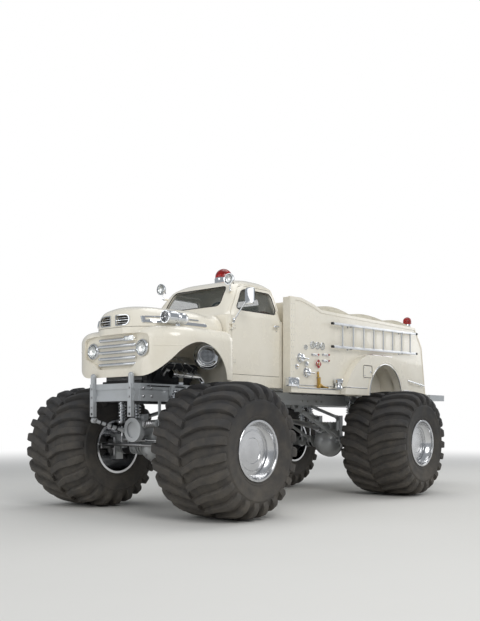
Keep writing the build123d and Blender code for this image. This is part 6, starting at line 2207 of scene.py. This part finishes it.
@dataclass
class AxleTrim:
    """The covers, gaiters and link nuts on both axles, the driveline's joints, and the bar at the front axle."""

    axle_up: float = -822.0
    carrier_up: float = -582.0
    boots: tuple[tuple[float, float, float], ...] = ((0.0, 405.0, 560.0), (-WHEELBASE, 315.0, 425.0))
    bowl_radius: tuple[float, float] = (180.0, 262.0)

    def build(self) -> None:
        """Builds the front and the rear axle's trim and the driveline's."""
        for number, (ahead, start, end) in enumerate(self.boots):
            shape = Shape(f"axle_trim_{'front' if number == 0 else 'rear'}",
                          [RUNNING_GEAR, MACHINED_STEEL, RUBBER_SEAL])
            bowl = self.bowl_radius[number] * MM
            for side in Side:
                ribs = [(0, 0.074)]
                pleats = 6
                for pleat in range(pleats):
                    step = (end - start) * MM / pleats
                    ribs += [(step * (pleat + 0.15), 0.078), (step * (pleat + 0.5), 0.096),
                             (step * (pleat + 0.85), 0.078)]
                ribs.append(((end - start) * MM, 0.074))
                shape.lathe(ribs, at(ahead, side * start, self.axle_up), side * LEFT, 28, 2)
            lead = 1 if number == 0 else -1
            flange = at(ahead + lead * 20, 0, self.axle_up)
            ring = bowl * sqrt(1 - (20 * MM / bowl) ** 2)
            shape.lathe(((-0.01, ring - 0.004), (-0.01, ring + 0.008), (0.01, ring + 0.008), (0.01, ring - 0.004)),
                        flange, lead * FORE, 48)
            for way in ways(14, UP, LEFT, pi / 14):
                shape.bolt(flange + FORE * lead * 0.009 + way * (ring + 0.001), lead * FORE, 0.015, 0.008, 1)
            fill = Vector((lead * 0.86, 0.0, -0.5)).normalized()
            shape.bolt(at(ahead, 0, self.axle_up) + fill * (bowl - 0.002), fill, 0.036, 0.014, 1)
            crown = at(ahead, 0, self.axle_up + 330)
            for way in ways(8, FORE, LEFT, pi / 8):
                shape.bolt(crown + way * 0.126 - UP * 0.001, UP, 0.022, 0.01, 1)
            self.links(shape, ahead, -lead)
            shape.piece(Body.CHASSIS)
        self.driveline()
        self.track_bar()

    def links(self, shape: Shape, ahead: float, lead: int) -> None:
        """Adds the nuts, threads and lock rings of one axle's four link bars.

        Args:
            shape: The piece they join.
            ahead: The axle's place forward of the front axle.
            lead: The way that the links lead.
        """
        runs = ((150.0, 45.0, 1330.0, 542.0, 300.0), (0, 400.0, 950.0, 617.0, 210.0))
        for side in Side:
            for near, lift, far, far_lift, left in runs:
                start = at(ahead + lead * near, side * left, self.axle_up + lift)
                end = at(ahead + lead * far, side * left, self.axle_up + far_lift)
                run = (end - start).normalized()
                for eye, way in ((start, run), (end, -run)):
                    for out in (-1, 1):
                        shape.bolt(eye + LEFT * out * 0.028, out * LEFT, 0.034, 0.013, 1)
                    shape.lathe(((0, 0.02), (0, 0.036), (0.022, 0.036), (0.022, 0.02)), eye + way * 0.07, way, 6, 1)
                    shape.lathe(((0, 0.024), (0, 0.03), (0.012, 0.03), (0.012, 0.024)), eye + way * 0.1, way, 20, 1)

    def driveline(self) -> None:
        """Builds the bolts of the transfer case, the ribs of the gearbox and the shafts' crosses."""
        shape = Shape("driveline_trim", [CAST_IRON, MACHINED_STEEL])
        for radius, length, up in ((0.115, 150, -120), (0.12, 130, -300)):
            for side in Side:
                middle = at(-1740, side * length, up)
                shape.lathe(((0, radius * 0.94), (0.01, radius * 0.94), (0.014, radius * 0.86), (0.014, 0.052),
                             (0.022, 0.046), (0.022, 0)), middle, side * LEFT, 32)
                for way in ways(8):
                    shape.bolt(middle + way * radius * 0.76 + LEFT * side * 0.013, side * LEFT, 0.016, 0.007, 1)
        for number in range(6):
            ahead = -500 - number * 68
            for side in Side:
                shape.block(at(ahead - 5, side * 109, -226), at(ahead + 5, side * 116, -30), 0.003)
        for near, far in ((-1905.0, -3825.0), (-1575.0, -335.0)):
            start, end = at(near, 0, -300), at(far, 0, self.carrier_up)
            run = (end - start).normalized()
            for place, way in ((start, run), (end, -run)):
                for out in ways(4, LEFT, UP):
                    shape.bolt(place + out * 0.058, out, 0.024, 0.012, 1)
                shape.lathe(((0, 0.04), (0, 0.05), (0.018, 0.05), (0.018, 0.04)), place + way * 0.095, way, 24, 1)
        for side in Side:
            for up in (-60, -190):
                shape.bolt(at(-1740, side * 151, up + 60), side * LEFT, 0.02, 0.006, 1)
        shape.piece(Body.CHASSIS)

    def track_bar(self) -> None:
        """Builds the banded bar from the right post to the carrier's ring, and the ribbed damper beside it."""
        shape = Shape("track_bar", [CHASSIS_PAINT, MACHINED_STEEL, RUBBER_SEAL])
        start, end = at(745, -335, -462), at(395, -172, -590)
        run = (end - start).normalized()
        shape.tube([start, end], 0.024, 18)
        for share in (0.2, 0.38, 0.56, 0.74):
            shape.lathe(((0, 0.023), (0, 0.029), (0.02, 0.029), (0.02, 0.023)), start.lerp(end, share), run, 20, 2)
        shape.lathe(((-0.026, 0.0), (-0.026, 0.036), (0.026, 0.036), (0.026, 0)), start, LEFT, 28)
        for way in (-1, 1):
            shape.bolt(start + LEFT * way * 0.026, way * LEFT, 0.034, 0.014, 1)
        shape.block(at(728, -366, -476), at(762, -362, -402), 0.002)
        shape.lathe(((-0.02, 0.0), (-0.02, 0.032), (0.02, 0.032), (0.02, 0)), end, LEFT, 24)
        low, high = at(330, 150, -515), at(330, 430, -500)
        way = (high - low).normalized()
        shape.tube([low, high], 0.02, 16, finish=1)
        low, high = low + way * 0.03, high - way * 0.03
        shape.coil(low, high, 0.044, 0.0095, 7, 14, way.orthogonal().normalized(), 1)
        for seat, lead in ((low, -way), (high, way)):
            shape.lathe(((0, 0.019), (0, 0.056), (0.01, 0.056), (0.016, 0.024)), seat, lead, 26)
        shape.block(at(308, 428, -530), at(352, 440, -215), 0.003)
        shape.piece(Body.CHASSIS)


@dataclass
class EngineBay:
    """The engine's covers, intake, pulleys, headers and hoses, the radiator's core and the exhausts' trim."""

    head_left: float = 225.0
    head_up: float = 210.0
    head_tilt: float = 40.0
    radiator_ahead: tuple[float, float] = (450.0, 540.0)
    radiator_half: float = 340.0
    radiator_top: float = 538.0

    def build(self) -> None:
        """Builds the engine's dressing, the radiator's core and the exhausts' clamps."""
        shape = Shape("engine_dressing", [CAST_IRON, CHROME, MACHINED_STEEL, RUBBER_SEAL])
        tilt = radians(self.head_tilt)
        for side in Side:
            out = Vector((0, side * sin(tilt), cos(tilt)))
            across = Vector((0, side * cos(tilt), -sin(tilt)))
            crown = at(-80, side * self.head_left, self.head_up) + out * 0.124
            turn = Matrix((FORE, across, out)).transposed()
            middle = crown + out * 0.022
            half = Vector((0.32, 0.075, 0.024))
            shape.block(middle - half, middle + half, 0.016, 1, turn)
            for number in range(7):
                rib = middle + out * 0.024 + across * (number - 3) * 0.018
                shape.tube([rib - FORE * 0.28, rib + FORE * 0.28], 0.003, 6, finish=1)
            for number in range(4):
                ahead = -350 + number * 180
                port = at(ahead, side * self.head_left, self.head_up) + across * 0.11 + out * 0.02
                path = [port, port + across * 0.05, at(ahead - 20, side * 400, 190),
                        at(min(ahead, 100) - 30, side * 440, 130)]
                shape.tube(path, 0.021, 12, finish=2)
                plug = at(ahead + 60, side * self.head_left, self.head_up) + across * 0.115 + out * 0.07
                wire = [plug, plug + across * 0.03 + out * 0.01, plug + across * 0.035 + out * 0.07,
                        crown + out * 0.052 + FORE * ahead * MM * 0.2, at(-420, side * 30, 400)]
                shape.tube(wire, 0.0045, 6, finish=2)
        for ahead in (-220, -20, 180):
            shape.tube([at(ahead, -120, 330), at(ahead, -60, 372), at(ahead, 60, 372), at(ahead, 120, 330)], 0.03, 12)
        shape.block(at(-260, -70, 360), at(220, 70, 400), 0.012)
        shape.lathe(((0, 0.07), (0.045, 0.07), (0.05, 0.1), (0.056, 0.112), (0.082, 0.112), (0.09, 0.1),
                     (0.092, 0.02), (0.1, 0.012), (0.1, 0)), at(-20, 0, 398), UP, 36, 1)
        pulleys = ((0, -60.0, 0.085), (0, 150.0, 0.07), (150.0, 205.0, 0.045), (-150.0, 190.0, 0.055))
        for left, up, radius in pulleys:
            shape.lathe(((0, 0.02), (0, radius), (0.008, radius), (0.018, radius * 0.86), (0.028, radius),
                         (0.036, radius), (0.036, radius * 0.5), (0.03, radius * 0.3), (0.03, 0)),
                        at(332, left, up), FORE, 32, 2)
        belt = [(0, -145.0), (62.0, -118.0), (195.0, 190.0), (165.0, 247.0), (0, 222.0), (-160.0, 243.0),
                (-204.0, 180.0), (-62.0, -118.0)]
        shape.tube([at(350, left, up) for left, up in rounded(belt, 40, 5)], 0.007, 6, closed=True, finish=3)
        hub = at(392, 0, 150)
        for way in ways(6, LEFT, UP):
            lean = FORE * 0.35 + FORE.cross(way) * 0.94
            blade = ((0.03, 0.02), (0.19, 0.045), (0.19, -0.045), (0.03, -0.02))
            corners = [hub + way * out + lean * turned for out, turned in blade]
            shape.add(corners + [corner - FORE * 0.003 for corner in corners], BOX_FACES, 2)
        shape.lathe(((0, 0.03), (0.03, 0.038), (0.045, 0.038), (0.05, 0.02), (0.05, 0)), at(368, 0, 150), FORE, 24, 2)
        shape.tube([at(455, 210, 470), at(420, 210, 470), at(380, 150, 440), at(300, 60, 330)], 0.024, 14, finish=3)
        shape.tube([at(455, -230, 60), at(420, -230, 60), at(380, -160, 40), at(325, -90, 20)], 0.026, 14, finish=3)
        shape.piece(Body.CHASSIS, smooth=45.0)
        self.core()
        self.exhausts()

    def core(self) -> None:
        """Builds the radiator's tubes and fins, its tanks and the filler cap."""
        shape = Shape("radiator_core", [BLACK_PAINT, MACHINED_STEEL, BRASS])
        back, front = self.radiator_ahead
        half, columns = self.radiator_half, 44
        for number in range(columns):
            left = 14 - half + number * (2 * half - 28) / (columns - 1)
            shape.block(at(front - 1, left - 2.2, 50), at(front + 4, left + 2.2, 470), 0.0, 1)
        for number in range(20):
            up = 60 + number * 21
            shape.block(at(front - 1, 12 - half, up - 1), at(front + 2.5, half - 12, up + 1))
        for low, high, finish in ((3, 48, 0), (477, 536, 2)):
            shape.block(at(front - 2, 4 - half, low), at(front + 9, half - 4, high), 0.008, finish)
        shape.lathe(((0, 0.034), (0.012, 0.034), (0.014, 0.04), (0.024, 0.04), (0.028, 0.012), (0.028, 0)),
                    at((front + back) / 2, 0, self.radiator_top - 1), UP, 24, 2)
        shape.piece(Body.CHASSIS)

    def exhausts(self) -> None:
        """Builds the clamps with their bolts and the chromed tip of each open exhaust."""
        for side in Side:
            shape = Shape(f"exhaust_trim_{side.label}", [CHROME, MACHINED_STEEL])
            runs = ((110.0, 129.0), (-20.0, 126.0), (-180.0, 123.0))
            for ahead, up in runs:
                shape.lathe(((-0.012, 0.035), (-0.012, 0.041), (0.012, 0.041), (0.012, 0.035)),
                            at(ahead, side * 490, up), FORE, 28, 1)
                shape.bolt(at(ahead, side * 490, up + 38), UP, 0.016, 0.012, 1)
            tip = ((0, 0.034), (0, 0.038), (0.03, 0.04), (0.06, 0.046), (0.06, 0.041), (0.01, 0.034))
            shape.lathe(tip, at(-410, side * 490, -150), -UP, 32)
            shape.piece(Body.CHASSIS)


@dataclass
class AirCleaner:
    """What dresses the air cleaner's drum: a C-shaped bead round a disc of mesh, and its clips."""

    ahead: float = -385.0
    left: float = 600.0
    up: float = 390.0
    axis: Point = (0.75, 0.66, 0.0)
    radius: float = 185.0
    half: float = 75.0
    disc_rise: float = 21.0

    def build(self) -> None:
        """Builds the cover's bead, the mesh and the clips."""
        shape = Shape("air_cleaner_trim", [CHROME, BLACK_PAINT, MACHINED_STEEL])
        way = Vector(self.axis).normalized()
        side = Vector((-way.y, way.x, 0.0))
        face = at(self.ahead, self.left, self.up) + way * (self.half * MM)
        ring = [face + way * 0.001 + (side * cos(a) + UP * sin(a)) * 0.126
                for a in (radians(35 + 290 * i / 32) for i in range(33))]
        shape.tube(ring, [0.004] + [0.017] * 31 + [0.004], 12)
        reach = 0.092
        disc = face + way * (self.disc_rise * MM)
        for number in range(-5, 6):
            step = number * 0.0165
            half = sqrt(max(reach * reach - step * step, 0.0))
            for along, across in ((side, UP), (UP, side)):
                middle = disc + way * 0.0005 + across * step
                shape.tube([middle - along * half, middle + along * half], 0.0035, 6, finish=1)
        shape.lathe(((-0.004, reach + 0.003), (-0.004, reach + 0.009), (0.006, reach + 0.009),
                     (0.006, reach - 0.002)), disc, way, 40, 2)
        for out in ways(3, side, UP, 0.4):
            foot = face + out * (self.radius * MM - 0.001)
            shape.tube([foot - way * 0.115, foot - way * 0.045, foot - way * 0.03 + out * 0.006,
                        foot - way * 0.018], 0.004, 8, finish=2)
        shape.piece(Body.CHASSIS)


# the carried-over solids, by finish
NODE_FINISHES: dict[Finish, tuple[str, ...]] = {
    CHASSIS_PAINT: ("frame_rails", "front_crossbar", "front_axle", "rear_axle", "link_bars", "tailboard"),
    CHROME: ("shocks", "steering_rod", "hood_trim", "mirror_left", "spot_lamps", "siren", "air_cleaner", "exhaust",
             "pump_fittings", "grab_rails"),
    CAST_IRON: ("engine",),
    RUNNING_GEAR: ("transfer_case",),
    MACHINED_STEEL: ("drive_shafts", "knuckle_left", "knuckle_right", "tie_rod", "steering_cylinder"),
    BODY_ENAMEL: ("front_clip", "grille", "hood", "cab", "door_left", "door_right", "dashboard", "bed", "bed_ends",
                  "bed_floor", "wheel_wells", "rear_fenders"),
    LAMP_GLASS: ("headlamps",),
    BLACK_PLASTIC: ("radiator", "steering_wheel"),
    CLEAR_GLASS: ("cab_glass", "door_glass_left", "door_glass_right"),
    SEAT_HIDE: ("bench_seat",),
    RED_GLASS: ("beacons", "rear_lamps"),
    CANVAS: ("bed_cover",),
    EXTRUDED_ALUMINIUM: ("ladders",),
}


def dress_nodes() -> None:
    """Gives each carried-over solid its finish, and shades its shallow facets smooth."""
    for finish, names in NODE_FINISHES.items():
        for name in names:
            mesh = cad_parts[name].data
            mesh.materials.clear()
            mesh.materials.append(finish.material())
            mesh.shade_smooth()
            mesh.set_sharp_from_angle(angle=radians(32))


def main() -> None:
    """Builds the scene, sub-assembly by sub-assembly."""
    logging.basicConfig(level=logging.INFO, format="%(message)s")
    bpy.context.scene.view_settings.view_transform = "Standard"
    dress_nodes()
    Studio().build()
    Corners().build()
    Front().build()
    HoodTrim().build()
    Siren().build()
    SpotLamps().build()
    Beacons().build()
    CabSeals().build()
    Doors().build()
    CabInside().build()
    panel = PumpPanel()
    for side in Side:
        panel.build(side)
    Ladders().build()
    BedTrim().build()
    CabShell().build()
    BedCover().build()
    RearFenders().build()
    FrameFittings().build()
    Shocks().build()
    AxleTrim().build()
    EngineBay().build()
    AirCleaner().build()


if __name__ == "__main__":
    main()
